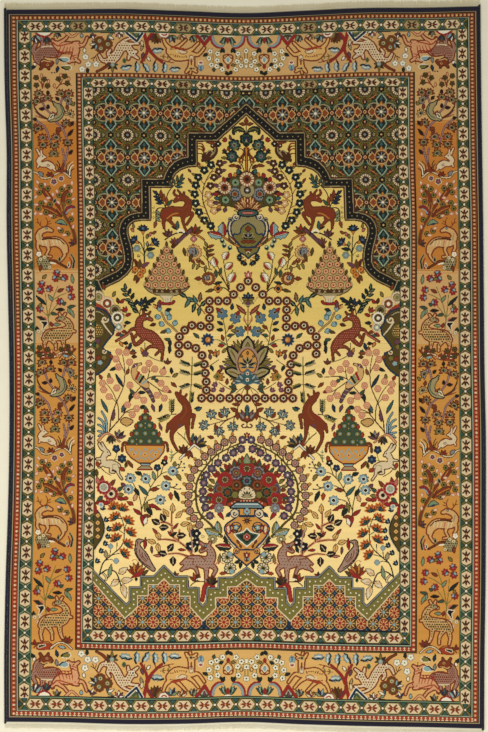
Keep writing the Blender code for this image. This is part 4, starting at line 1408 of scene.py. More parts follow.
"parrot": """
from 143 382:
stem plum 4.4 2.4 black: 1 4 6.4 10.6 10.4 19
limbs tan brown: -7.6 -15.8 2.2 -9 -11 2.6 -6.4 -5.4 3.8 -.6 0 3.8 3.6 3.6 2.4, -7 -16.8 1.4 -2.2 -18.2 .7
stem plum 2.4: -9.6 -15.2 -6.4 -17.2
stem red 2.4: -7 -3 -4.2 -9.4
stem sage 1.8: -5.2 -1.4 -1.6 -7.2
stem bottle 2.4: -3.2 0 .4 -5.4
stem skyBlue 1.8: -.6 1.6 3.8 -1.6
line khaki .8: 3.2 8.6 6 7.4, 5.4 12.6 8.2 11.4, 7 16.6 9.8 15.4
disc .6 ivory: -7.4 -16.4
""",
"rearingDeer": """
from 180 412:
featherLeaf 15: -8.4 2.4
featherLeaf 14: -8.6 2.6 -116
stem bottle 1.1: -8.6 2.4 -4 2
stem moss 1.1: 12 -55 11.8 -40 11 -24 8.6 0
featherLeaf 12 khaki: 11.4 -46 -70, 11.4 -37.4 -74, 11.4 -28 -110
featherLeaf 10: 12.4 -46 70, 12.4 -37.4 74, 12.4 -28 110
featherLeaf: 11 -8 4
limbs hide brown: 1.4 -13 3.4 5.6 -8 3.4 7 -2 4.2 4.4 5 5.6 -2 9.6 5.8 -7.4 13.4 4.6,
1 -13.4 3 -2.4 -17.2 1.8 -3.4 -18.8 1.4, -.4 -16 .9 .8 -21.2 .6, 4 -13.4 1 6.6 -17.6 .6,
-5.4 15.6 3.2 -8.2 22 1.7 -7.6 29 1.1 -2.6 38.6 .8, -11.2 12.6 1.7 -13.2 19.6 .8,
7 8.6 3 7.6 18 1.6 8.4 25 1 11.4 32 .8, 8.6 4.6 2.4 14 3.2 1.3 13 9.6 1 12.2 15.6 .9
stem rust 1.8: 4.6 -7.4 6 -.4 1 7.6
stem red 1.4: -8 7.6 -2 2.8
disc 1.6 plum: 0 13.4
stem olive 1.1: -2.4 20.6 4.4 26.6 11 34.4
stem moss .8: 6 18.6 4.6 25 8.6 32.6
line ivory 1.3 brown: 0 46.6 14 32.6 20 37
line red 1.8: 9.4 33 11.6 31.2
tuft hide/brown/hide/brown 9 44: 4.6 41.2 -24
tuft hide/rust/hide 8 30: 9.6 38.6 -172
stem moss 1.1: -9.2 49.6 -6.4 43 -1.6 39.6
frond 9 3 sage 3.4 1.2 moss: -8.6 49
leaf plum 2.2 hide: -18.2 18.4 -22 7.6
leaf teal 2.8: 12.4 29 6 7.4
""",
"lowerDish": """
from 145 439:
stem hide 1.8 1.4 brown: -17.6 8 -19 3.6 -22 5 -22.8 12, 17.6 8 19 3.6 22 5 22.8 12
greenFruit: .2 -21.4, -4.1 -13.5, 4.5 -13.5, -8.4 -5.6, .2 -5.6, 8.8 -5.6, -12.7 2.3, -4.1 2.3, 4.5 2.3, 13.1 2.3
bud 4.8 2.6 brick brown: -4.3 -18.2 -6, 4.7 -18.2 6, -8.8 -10.3 -6, 9.2 -10.3 6, -13.3 -2.4 -6, 13.7 -2.4 6
bud 5 2.8 brick brown: .4 -25
shape amber hide 1.1: -19.2 6.8 19 7.2 18 12.6 13.4 18.6 5.6 23.4 -6 23.2 -13.6 18.2 -18 12.4
stem skyBlue 1.1: -16 14.2 -13.4 9.4 -10.8 13.2 -12.4 15.2, -9.2 15.6 -6.6 10.8 -4 14.6 -5.6 16.6,
-2.4 14.2 .2 9.4 2.8 13.2 1.2 15.2, 4.4 15.6 7 10.8 9.6 14.6 8 16.6, 11.2 14.2 13.8 9.4 16.4 13.2 14.8 15.2,
-9.4 18.6 -6.6 20.4 -3.6 17.4, -2.6 18.6 .2 20.4 3.2 17.4, 4.2 18.6 7 20.4 10 17.4
disc .9 red gold: -11 15.6, 10.4 15.6, 0 15.6
shape skyBlue black: -4.6 24.6 5.2 24.8 3.6 27 -2.8 26.8
shape khaki hide .8: -3.6 27.4 3.8 27.4 6.8 30.4 -7.2 30.2
line red: -7.2 30.2 6.8 30.4
""",
"rabbit": """
from 114 461:
limbs cream brown .8: -7.4 -8.4 2.6 -10.4 -3.6 2.4 -9.2 2.4 2.8 -2.4 3.2 3.8 2.6 5.8 3.6,
-8.6 -10 1.2 -12.8 -13.4 1.3 -15 -17.2 .8, -8 -10.8 1 -10.8 -15.4 .9 -12 -18 .6, -6.6 -7.8 1.9 -4.8 -7 1.1,
-11.4 -2.4 1 -17 -2 .8, -10.8 2.8 1.2 -15 6 .7, 3.6 8.4 1.6 4.4 12.6 .8 7.8 17.8 .6,
-2.4 6.6 1.4 -3.4 10.4 .9 0 11.4 .7
stem tan .8: -8.6 -3.8 -5.4 -.6 0 -.4
stem khaki .8: -1 8 -1.4 4 3.4 3.4 4.6 7.4
disc .7 black: -6.4 -8.8
stem brown .8: -16 3 -10 10 -3 14.4
bud 5 3.2 brick brown: -15.4 5.4 -20
stem moss .8: -.4 0 2.4 -5.4 2.6 -10.4, 0 -1.4 4.6 -2
floret 3.6 deepBlue blue: 2.2 -12.2
floret 4 deepBlue blue black 6: 8 -2.4
leaf brown 2.8 moss: 11.6 6.6 10 6.4
leaf hide 2.8: 18.6 6.6 -34 8.4
""",
"starBells": """
from 152 491:
stem olive 1.1 .8: -10.4 24 -11.4 11 -15.4 -1 -20.4 -10.4, -10.6 19 -6 7 .6 -7 10 -17.4 19.6 -19.8,
-2.4 0 6 -5.4 13 -5.4, -4 9.6 1 8 7.6 8.4, -1.6 -4 -3.6 -8.4 -5.4 -11.4, -13.4 4 -19 -1 -22.4 -2, 5.6 -13.4 5.6 -21,
8.6 -16 10.4 -22.4 12.4 -27.4, -10.4 17 -7.4 12 -7.2 6.4, 23.6 -21 27.6 -23.4 32.6 -23.6, 25.6 -22.4 28 -26.4 29 -28.6,
19 -3.4 23 -4.4 24.6 -6.4, 20.6 -3.4 25 -2 28 -2.2
disc 1 deepBlue: 32.6 -23.6, 29.4 -29.2, 26.4 -26.6, 32 -27.2, 24.6 -6.6, 28.4 -2.2, 30.6 -20.6
leaf teal 3.6: -4.2 4.4 -42 13
leaf sage 3.6: 2.6 -11.4 -12 8.4
leaf bottle 3.6: -10.4 -16.6 -70 6.6, 22.8 -.4 158 11, -17 -2.6 150 8
leaf rust 3.6: 11.6 -15 116 9
leaf red 3.6: -3 13.6 108 9.4, -11 23.8 -52 9.4, -10.4 23 170 12
leaf brick 3.6: 18.6 1.6 176 7, -27.4 -20.4 -60 6, -24 7.6 -84 5, -19 14 -60 6.6
leaf moss 3.6: 25.6 -17 154 7, 22.4 -24.4 6 5, -7 20.4 12 10
leaf plum 3.6: -27 -4.4 -50 5
starBell orange: -21.3 -12.8 -170, -6 -12.2 -160, 8 8.8, -23.2 -1.8 170
starBell tan: 20.6 -20
starBell: 13.6 -5.2
floret 3.2 deepBlue grey: 5.4 -23.4
floret 3 black ivory: 12.4 -28.6
bud 4.4 3.2 brick brown: 13.2 -30.8 12
leaf hide 3.6: -1.6 -1.4 84 8.4, -9 24.6 96 7.6
leaf ivory 3.6: -8 33.6 20 8
leaf peach 3.6: -18 9.6 20 7
leaf green 3.6: -1.4 24 -10 8.4
leaf bottle 3.6: -5 17.6 140 8
""",
"redRosettes": """
from 109 487:
leaf red 3.6: -8 -2.4 10 9, -5 13.4 -110 10, 3 14.6 -104 14, 8 10 112 7.6
leaf rose 3.6: -10.6 -2.4 -10 8
leaf hide 3.6: 1 -1.4 40 7.6
leaf green 3.6: 8.4 3.6 56 6, -6.4 9.6 -130 7
leaf moss 3.6: 9 8 84 5.6
leaf olive 3.6: -12.6 -11 0 6.6
rayFlower 7.2 red cream black 14 rose: 2 6.8
rayFlower 7 red ivory sage 12 rose: -5.2 .4
disc 3.6 paleGreen ivory .6: -5.2 .4
disc .6 rose: -3.2 .4, -4.6 2.3, -6.8 1.6, -6.8 -.8, -4.6 -1.5
""",
"mapleSpray": """
from 113 550:
stem bottle 1.4 .8: -13.6 25 -9.6 12.4 -1.4 5.2 8.4 -4 11.4 -14.4 10.4 -26.4 5.4 -38.4
stem bottle .8: -1.4 5.2 5.6 3.4 10 3.6, 9.6 -6.4 12.4 -6, 3.6 1 4 -7.4, -3.4 6.4 -2.4 -.4, -8.4 10.6 -2.4 9.4 1.6 11,
-6.6 8.4 -7.2 2, 11.2 -16.4 6.6 -19.4, 11.2 -19.4 14 -28.4, 9 -31.4 5 -31.6
mapleLeaf: 1 -43.6 -20, 9.8 -42 10, 1.6 -33.2 -40, 15.6 -29.6 34, 3.8 -22.6 -30, 17.8 -17.8 34, 2.6 -12 -30,
15.2 -6.2 40, 11.8 3.4 50
bud 5 4.6 skyBlue grey: 3.2 13.4
bud 4.6 4 skyBlue grey: -2.4 -1.4
leaf khaki 3.6: -6.6 8 -8 7.4
shape olive bottle 1.1: -25 -41 -16 -39.4 -12 -33 -9.2 -24 -10 -16 -14 -9 -19 -1.4 -25 2
stem cream .8: -16 -41.4 -10.4 -33 -7.6 -22 -10.4 -11.4 -17 -1 -18.6 10
floret 2.1 gold hide brown 4: -15.2 -34.6, -15.2 -27.2, -15.2 -20.4, -15.2 -13.4
line red 2.6: -17.6 -44 -17.4 -38
tulip 3 deepBlue skyBlue black bottle: -12 -40.8 50 .8, -8.4 -29 50 .8, -5.8 -19.8 50 .8, -6.8 -12.2 50 .8,
-9.2 -5.2 50 .8, -13.4 2.2 50 .8, -17.2 12.2 50 .8
disc 1.8 skyBlue ivory: -12 -45
stem bottle 1.4: -13.2 24.4 -6 19.8 2 21.6 5.4 27.6 8.6 38
leaf sage 3.6: -4.4 27 12 13
stem cream 1.1 1.1 black: -9.4 23.6 -6.4 27.6 -7.4 30
leaf cream 6 brown ivory: 5.6 23.4 56 10.4, 8 30.6 84 11, 5.6 30 -128 9.6, 9.6 34 168 14
leaf tan 2.2 none: 5.6 23.4 64 7.3, 8 30.6 92 7.7, 5.6 30 -120 6.7, 9.6 34 176 9.8
""",
"partridge": """
from 141 562:
limbs dusk black .9: -2.6 -20.6 1.9 -3.2 -16 1.9 -1.6 -10.4 3.8 2.4 -4.6 4.4 7 1.6 3 12.4 7.4 1.4,
-1.6 -21.4 1.2 1.6 -21.2 .5
stem brown .9: -4.6 -14 -4 -7 2 .4 9.6 5.4, 1 -9.4 1.8 -5.4 6 -1, -3.4 -21 -3.6 -16.4
stem hide .8: -1.4 -12.4 -.6 -6.4 5 0
stem brown .8: 3.6 -8.4 7 -2.4
leaf red 2.8: 3.6 -13.4 4 11
stem orange .8: -9 -1.4 -5.4 -2.6 -2 .6
tuft brick/hide/orange/hide/orange/brick 12.6 54: -4 13 -6
shape red hide: -9.6 15.6 -5.4 11.6 1.6 10 -1 14
leaf olive 2.8: 1.4 12.6 52 7
leaf bottle 3.6 none: -4.6 15 -176 4.6
""",
"autumnSpray": """
from 171 535:
stem hide 1.4 .8 peach: 22 20 13.6 11 4 3 1 -6.4 .6 -22.4, 5 6 -4.4 4.4 -13 4.6, 17 21.4 7 18.4 -2.4 19,
1 -9.4 -5 -12.4 -10 -12.6, 7 6.4 8.4 -5, 20 18.6 20.4 8.6, 3 3 -.4 -4
leaf gold 4.6 brown olive: 1.6 -22.4 0 8.8, -2.6 -18.6 -36 8.8, 5 -17.4 44 8.8, 9.6 -10.4 80 8.8, -11 4 -30 8.8,
-15.4 8 -70 8.8, -13.4 8.6 170 8.8, 18 -3.4 10 8.8
leaf black 6 brown cream: -6.6 -13.4 -24 8.6, -11.6 -11 -60 8.6, -11.4 -7.6 88 8.6, 6 .6 88 8.6, -3 16 36 8.6,
-4.4 19.4 -78 8.6, 2 22 178 8.6, 23.6 2.6 -10 8.6
leaf red 2.2: 2.6 -6.4 40 6.6, 1.6 1.6 -42 6.6, 7.6 14.4 96 6.6, -16.4 -27.4 110 6.6
leaf brick 2.2: -14 -1.4 -40 6.6, 19 1.6 6 6.6
leaf plum 2.2: -19.4 11.4 176 6.6
leaf rose 2.2: -10.4 21 -84 6.6
leaf bottle 2.2: 5.6 -2.4 -120 6.6
""",
"lowerBouquet": """
middle 485:
blob brown olive .8: 1 -22 -12 -20 -24 -12 -32 2 -31 14 -22 20 -10 17 1 17
leaf red 3.6: -19 -15.6 -30 6.4, -29 -8.4 -56 6.4, -33.6 9.6 -96 6.4, -32 20.6 -120 6.4, -4 -22.6 -6 6.4,
-11 -19.6 -16 6.4, -29 26 146 10
leaf green 2.8: -12.6 -18.6 -6 6, -23.6 -12.4 -30 6, -32.6 -3.4 -60 6, -34.6 14 -70 6, -8 -21 8 6
leaf moss 2.8: -34.4 1 -96 5.4, -32.6 -2 -40 5.4, -6 -21.6 -20 5.4
leaf hide 2.8: -16 -17 -20 5, -27.6 -10.6 -40 5, -35 17 -90 5, -33.6 5 -84 5
leaf red 4.6 brown hide: 0 21 -84 15, 0 21 -56 15
leaf moss 3.6: 0 21 -70 13, 0 21 -42 13
petals 6.8 10 grey plum .2: -10.8 -12.2
petals 6.2 9 grey deepBlue .24: -27.6 3.8
petals 4.6 9 plum black .2: -10.8 -12.2, -27.6 3.8
petals 2.6 7 hide moss .2: -10.8 -12.2, -27.6 3.8
beadRose 7.4 red brick khaki olive: 0 -16.5, -21.9 -5.5, -27.9 14.9
petals 4.8 8 grey plum .24: -28 23
disc 1.8 skyBlue hide: -28 23
petals 5.2 8 teal black .32: 0 -4.3
petals 3 8 deepBlue grey .3: 0 -4.3
disc 1 hide: 0 -4.3
petals 5.2 8 rust brown .24: -10.4 .2
petals 3.2 8 brown rust .2: -10.4 .2
disc .9 sage: -10.4 .2, -10.8 -12.2
petals 5.2 8 bottle moss .24: -19.4 7.4
petals 2.8 7 hide green .24: -19.4 7.4
petals 3.6 6 moss black: -11.8 10
stem brick 3.2 3.2 brown: -18 19.6 -9 16.4 1 16
disc .7 cream: -15 18.4, -12 17.2, -9 16.4, -6 16, -3 15.8, 0 15.8
leaf hide 2.8: -6 15 -84 7
blob cream olive .8: -7.4 13 -7.8 7.6 -4.4 3.6 1 2 1 13
leaf black 2.2 none: 0 12.6 -78 6.6, 0 12.6 -54 7, 0 12.6 -28 7.6, 0 12.6 0 8
leaf khaki 1.6 none: 0 13 -67 5.4, 0 13 -41 5.4, 0 13 -14 5.4
disc .7 black: -5.6 5.6, -2.4 3.8
shape sage olive .8: 0 -31 -3.4 -24.4 -2.8 -21.8 2.8 -21.8 3.4 -24.4
line khaki: 0 -28 0 -23
""",
"lowerVase": """
middle 530:
stem cream 2.4 1.8 olive: -20.4 4.6 -15 13 -9 19.4
blob amber deepBlue 1.4: 1 -14.6 -7.2 -14.6 -12.5 -10.4 -19.4 -5.6 -21.4 -1.6 -19.6 3.6 -15.6 9.6 \
-10.6 14.6 -6.4 19.4 1 19.4
shape amber deepBlue 1.1: 0 -22.8 -7.4 -22.8 -7 -14.4 0 -14.4
shape skyBlue black 1.1: 0 -27.4 -10.6 -27.4 -16.2 -22.6 0 -22.6
line deepBlue .8: -12.8 -24.4 0 -24.4
line ivory .7: -11 -26 0 -26
line deepBlue 1.1: -7 -14.6 1 -14.6
shape deepBlue: -16.4 -19 -17 -13.2 -21.4 -13 -20.6 -16.4
scroll 4.9: -12.2 -16.8
petals 3.4 7 skyBlue bottle .25: 0 -18.8
disc 1 red: 0 -18.8
leaf brown 1.6 none: 0 -9.4 0 5.4, 0 -9.4 -45 4.8, 0 -9.4 -90 5.4, 0 -9.4 -135 4.8, 0 -9.4 -180 5, 0 -9.4 45 4.8
disc .6 grey: 0 -9.4
shape cream red .8: -20 -3.2 -18 -5 -17 -1 -18 3.4 -19.4 1.6
line red 1.1: -16.8 -4.6 -15.8 -1 -16.8 3
disc 6 deepBlue: -10.9 -2.4
disc 4.9 amber: -10.9 -2.4
leaf green 2.2: -10 -2 60 4, -10.6 -1 170 3.6
leaf red 2.2: -11.6 -3 -60 4, -12 -1 -130 4
petals 2.6 5 skyBlue bottle .3: -10.8 -2.6
disc .8 cream: -10.8 -2.6
shape green ivory .8: 0 -1.4 -3.4 2.6 -12 4.6 -7.4 9.6 0 16 7.4 9.6 12 4.6 3.4 2.6
shape bottle: 0 .4 -3.4 4.4 -9 5.4 -5.6 9 0 13.6 5.6 9 9 5.4 3.4 4.4
petals 3.8 7 moss brown .2: 0 7
petals 2.6 4 red rose .3: 0 7
disc .7 ivory: 0 7
leaf hide 1.6: -9.6 10.4 150 4, -6.6 15 160 3
shape amber deepBlue 1.3: 1 20.6 -11.4 20.8 -12.2 24.6 -5.4 30.4 0 35 1 35
line deepBlue 1.2: -6.6 19.8 1 19.8
scroll 3.4 amber: -10.2 20.8
tulip 2.8 red ivory brown -: 0 27.6
leaf skyBlue 2.2: 0 31.4 -30 3.6, 0 31.4 30 3.6
leaf bottle 2.8: -5.6 32.6 -170 6, -7 31.4 -110 5
""",
"vaseSides": """
from 211 552:
beadFlower: 16.5 5.2 37, 19.1 16.4 153
leaf brick 2.8: 9 21.4 88 6.2
leaf moss 2.8: 7.6 11.4 8 9.4
stem moss 1.1: -1.6 -14.4 4 -16.4 10.6 -14.4
petals 4.4 10 khaki moss .24: 1.6 -13
petals 2.6 8 moss khaki .2: 1.6 -13
petals 4.2 5 black deepBlue .3: -14.8 -18.6, -14.2 -10, -21 -6
disc 1.1 ivory: 1.6 -13, -14.4 -18.4, -13.8 -9.8, -20.6 -5.8
spiral 2 khaki .8: -8.4 -16
stem dusk 1.4: -18.4 0 -19.4 -12 -21.4 -22.4
leaf bottle 2.8: -16 0 26 6.6
""",
"spottedDeer": """
from 197 569:
limbs dusk hide 1.1: 8.6 -22.2 2.6 13.4 -18.6 2.8 14.2 -11.6 3.9 9.4 -6.4 5.4 1 -8 4.9 -6.4 -7.8 4.8 -10.4 -6.2 3.2,
8.6 -21.4 2.4 4.2 -18 1.3, 6.4 -24 1.1 3.6 -26.2 .7, 11.6 -23.4 1.1 13.4 -26.4 .7, 9.2 -2.6 2.4 9.4 5 1.2 9.2 14.4 .9,
13.6 -4.4 2.2 18.6 .4 1.3 16.6 5.4 .9 15 9.4 .8, -9 -3 2.4 -14 -.4 1.1 -15.6 1.2 .8, -5 -3 1.8 -1 0 1 1.6 8 .7,
-10.6 -9 1.2 -15.6 -5.4 .6
fleck brown 3 .6 .8:
limbs hide: 8.4 -22.4 1.8 5 -19 .9
stem hide 1.1: -10.4 -11.4 -5 -14 3.6 -12.6 8.4 -8.4
stem hide .8: -9.6 -11 -3.6 -9.6 -4.4 -4.4
disc .8 skyBlue black: 8.6 -23
stem red 3.2 3.2 hide: 16 17.6 12.6 14.6 8 17 6.6 23 5.4 31
stem brick 1.1: 7.6 18 5.4 29
tuft bottle/green/brown/bottle/black 8.6 50: 14.6 15.6 8
tuft hide/brick/brown 8.6 36: -1.4 12.4 -14
stem brown 1.1: -6.4 16.6 -1 12.6 6.4 12.6
stem ivory 1.1: -.4 10.4 3 9.6 6.6 11
tuft rose/bottle/red 5 50: -22 7.4
stem rose .8: 17.4 -3.6 22.6 -6.6 27 -5, 18.4 -5 22 -9.4
""",
"sideTree": """
from 53 128:
stem hide 1.4 .8: -10.6 -40 -11.6 -44.4 -15.4 -49, -10.6 -40 -9.4 -44 -9.2 -48.4, -10.6 -41.4 -11.4 -47 -11.6 -51.4,
3.4 -39.4 7.4 -44.4 11.4 -51.2, 7 -43.6 13 -44.6 18.6 -42.4, 7.4 -44.4 6.4 -47.6
floret 2.4 olive black brown: -16.9 -50.4, -8.8 -48.8, -16.6 -42.8, -5.5 -42.2, 5.5 -49.1, 11.8 -51.8, 14.3 -44.8
bud 3.6 1.8 peach rust: -11.4 -50.4, 7.8 -51, 16 -47.4, 1.4 -40.4, -4.4 -44.8
disc .8 brown: -1.1 -55.2, 1.6 -55.2
stem dusk .9 .7 plum: -12 -30.4 -8.4 -21.2 -2.6 -14.4, 7.6 -24 9.6 -30 13.4 -32.6, 1.6 -7 8.8 -.6 12.8 8 14.6 13,
-18.2 -8.6 -13 -5 -6.8 1.2 -3.4 11.6 .4 18, 10.6 38 13.8 27 15.2 17, 10.4 36.4 11 28.6 9.4 21
eyeFlower rust grey: -14.4 -34.4 -20 .95, 12.9 -4.8 -40 .95
eyeFlower brick: -5.4 -29.6 0 .95
eyeFlower hide: -16.1 -26.6 -30 .95, -10 16.8 -180 .95
eyeFlower rust moss: 8 -34.4 20 .95
eyeFlower brick green: 15.8 -34.6 0 .95
eyeFlower grey plum: 14.9 -27.2 60 .95
eyeFlower tan grey: 16.6 -14.4 20 .95
eyeFlower hide black: -15.1 .8 -30 .95
eyeFlower brick skyBlue: -10.4 9.6 0 .95
eyeFlower rose green: 3.2 9.4 10 .95
eyeFlower rust grey: 1.6 17.2 160 .95
eyeFlower hide green: 14.7 14.6 -180 .95
eyeFlower moss grey: .7 25.8 0 .95
floret 2.4 hide rust brown: 5.5 1.8
floret 2.2 hide rust brown: 17.2 -3.8
leaf black 2.8: -5.1 -33.2 2 4, 6 -27.6 -44 4.4, -8.6 -18.8 -84 5, -5.2 -19.2 8 4, 18 -2.6 30 4.4, 14.8 7.8 40 8,
16 26.2 40 5.4, -16.4 -8.2 -74 3.4
leaf hide 2.8: 14.4 -18.6 -8 4.4, 4.6 3 176 4
leaf moss 2.8: 19 -22.4 40 4
leaf rust 2.8: -17 -4.6 -164 4.6
stem rust 1.8 .8: -6 -9.2 -15 -15.6 -20 -24.4
stem brown 1.8 .8: -6 -9.2 -14 -13.8 -19 -20.4
stem plum 1.8 .8: -6 -9.2 -13 -12.4 -18 -16.6
stem rust 1.8 .8: -6 -9.2 -12.6 -10.6 -17.6 -12.4
stem brown 1.8 .8: -6 -9.2 -14.6 -14.8 -19.4 -22.4
limbs khaki black .8: 2 -23.6 1.2 6.6 -20.4 2.6 7.6 -15.4 2.9 4.4 -10.6 2.8 -2.4 -8.4 2, 2.6 -23.6 1 .6 -25.6 .5
stem green 1.1 .8: 7.8 -22 9.4 -16.6 7.2 -11.8 2.6 -9.2
shape cream black: -5 -7.4 -2.4 -13.8 1 -14.2 .6 -10
stem bottle 1.1: -2.4 -10.4 -.4 -12.6
stem hide 1.8: -.4 -15.8 3.8 -13.4
stem moss 1.4: 3 -20.6 4.4 -17.4
limbs cream hide .8: -10.4 29 2.2 -14.4 32.8 1.9 -11.4 36.4 2 -4.6 35.8 2.6 -.4 39 2.2, -11.2 28.4 1.4 -7.6 29.2 .7,
-13.2 26.6 .9 -16 21.4 .6, -11.2 26.8 .8 -12 22.6 .6, -13.8 35.8 1 -15.4 39.2 .6, .2 40.4 1 2 42.4 .6,
-6.2 37.8 1.1 -2.2 41 .6
stem hide .8: -10.8 33.6 -5.6 32.8 .4 35.6
spiral 1.6 hide .7: -5 37
disc .6 black: -10.4 28.4
stem cream 1.1 1.1 brown: -19.6 43.6 -15.6 45.4 -11.2 49.8 -4 49.8 2.4 46.2 9.8 44.2 17.4 49.6
stem hide 3.2: 5 43 8.6 42.6 13 43.2
stem hide 4.4 1.8: 8.6 43 10.4 35
leaf grey 3.6: -10.2 48.2 -40 6
tuft brick/red/hide/brick 4.6 70: -3 48.2
stem cream 1.1 .8: 15.6 46.6 15.2 39.4 20 33.4
stem bottle 1.1 .8: 14 44.6 13.2 38 16.8 33.6, 5.8 41.8 4.8 38 3 36
stem ivory 1.1 .8: 16.6 47 17.2 40.4 20.4 37
stem black 1.1 .8: 15.2 46.6 16.4 39.2 19 36, 17.6 47.6 18.4 42.6 21 40.6, 7 41.6 6.4 36.4 4.4 33
floret 3 plum rose cream: .8 53.8
floret 2.4 plum rose cream: 8.2 50.6
""",
"sideStag": """
from 56 226:
blob hide brown: -13.4 -37.6 -9.6 -35.6 -3.2 -26.8 -5 -25.6 -11.8 -31.4,
10.4 -35.4 12.4 -32.4 10 -26.4 8.6 -20 5.8 -19.6 5.2 -26 7 -32, -13.2 -19.8 -6 -19 1 -15 6 -10 0 -9 -9 -14.4,
-.2 -22.6 4.8 -19.6 8 -13 5 -10.4 1.6 -16
stem hide 3.2 1.8 moss: 19.2 17 18.4 9 15.4 .6 11.6 -5.4 7.4 -13 6.8 -22
stem orange .8: 4.4 -13.6 0 -19.2, 1 -12 -6 -16 -12 -18, 9.6 -23 10.6 -31.4, -6 -28.4 -10.4 -34.6, 15 -1.4 15.2 -6,
6.8 -15.4 3 -23.4, 12 9.4 8 6.6, -3 -10 2.6 -8.8 7.2 -7
smallFloret: -14.7 -40.2, -8.1 -37.5, -16.5 -33.4, 5.9 -36.9, 13.2 -38.5, 13.2 -31.5, 3.2 -30.9, 12.8 -24.2,
-14.7 -22.7, -5.9 -21.5, -17.4 -17.2, -9.9 -13.6, -2.6 -10, 15 -6.6, 5 4.6, 11.4 7.7
drop: -17.4 -42.4 -34, -10.2 -40 -20, -18.2 -35.8 -50, -19 -30.6 -140, -3.2 -29.6 4, 8.2 -38.6 12, 15.8 -41.2 4,
15.6 -33.2 6, 1.6 -33 -20, 15.6 -26.2 60, -9 -23.6 -50, 3.4 -22.2 -34, -17.8 -21.2 -84, -19.6 -14.4 -154,
-13.2 -12.4 -96, -7.4 -10.6 100, 1 1.4 110, 16.4 -10.2 2, 17 2.4 8, 6.6 9.2 84, -9.6 -28 90
stem red 2.4 1.4 deepBlue: 10 -13 11.4 -17.4 14.6 -19.4 17.8 -18.8
stem skyBlue 1.4 .8: 10.6 -13 12.6 -16 15.8 -17.4
shape sage black: -.4 -3.4 4 -6.6 7.4 -5.6 10.6 -1 5.4 -2.4
shape deepBlue: 0 -3.2 5.4 -3 10.4 -1 4.6 -1
leaf bottle 2.8 khaki: -2.4 -23 28 5
tuft plum/deepBlue/plum/hide 5.8: 18.6 17.6 -60
stem hide 1.1 .8: -11.6 1.4 -15 0 -17.8 -4 -18.8 -7.6, -15.8 -.8 -15 -4.6, -17.4 -3.2 -20 -3.4,
-9.4 .4 -8.4 -4.4 -10.4 -8.4, -8.6 -3.4 -5.4 -5.4, -8.8 -1.6 -4.8 -2.6
limbs tan hide 1.1: -8.6 3 2 -4.4 4.6 1.1,
-9.2 3 2.2 -15 5.6 2.2 -17.4 10.6 2.7 -14 15.6 3.6 -7 16 4.2 1.6 16 4.2 7.6 20.6 3.4 10 25 1.8,
-17 15 1.7 -18.4 20.6 1 -16 25.6 .8, -8.6 19 1.6 -7.4 24 .9 -9.6 29.2 .7 -5 30.6 .6, 7 23 1.7 8.6 29 1 5 34.4 .7
stem brown 1.8 1.1: -13.4 13.4 -6 12.4 2.6 13.4 8.4 18
stem cream 1.1 .8: -14 14.8 -12.8 19.6, -10.4 14.8 -9.2 19.6, -3.2 14.8 -2 19.6, .4 14.8 1.6 19.6, 4 14.8 5.2 19.6
stem rose 1.1 .8: -6.8 14.8 -5.6 19.6
stem khaki 1.4: -17 7.6 -15.8 13
disc .8 skyBlue black .4: -9.6 2.2
blob khaki olive: -18.6 33 -14 31 -7.4 33.4 -5.4 38.4 -9.4 43.2 -15.4 42.4 -18 38
fleck black 2.2 .6 0:
floret 2.8 ivory gold rust: -17.2 28
floret 1.8 cream hide moss: -15.4 33.4, -11.4 31.4, -6.4 41.4
leaf hide 2.8: -15 39 -170 6
stem hide 1.4 1.1 black: -6 34.4 -.4 35 5 38.4 10.6 41.4
stem ivory 1.8 1.1: -5 36.8 -.6 37.6
leaf black 2.2 khaki: 3.2 35.6 8 5
stem red 1.8 1.1: 13.8 42 15.6 36.4 13.8 32
stem black 1.8 .8 khaki: 17 41.6 18 34 15 28.4
leaf bottle 1.6 cream: 12.6 41 4 4.4
""",
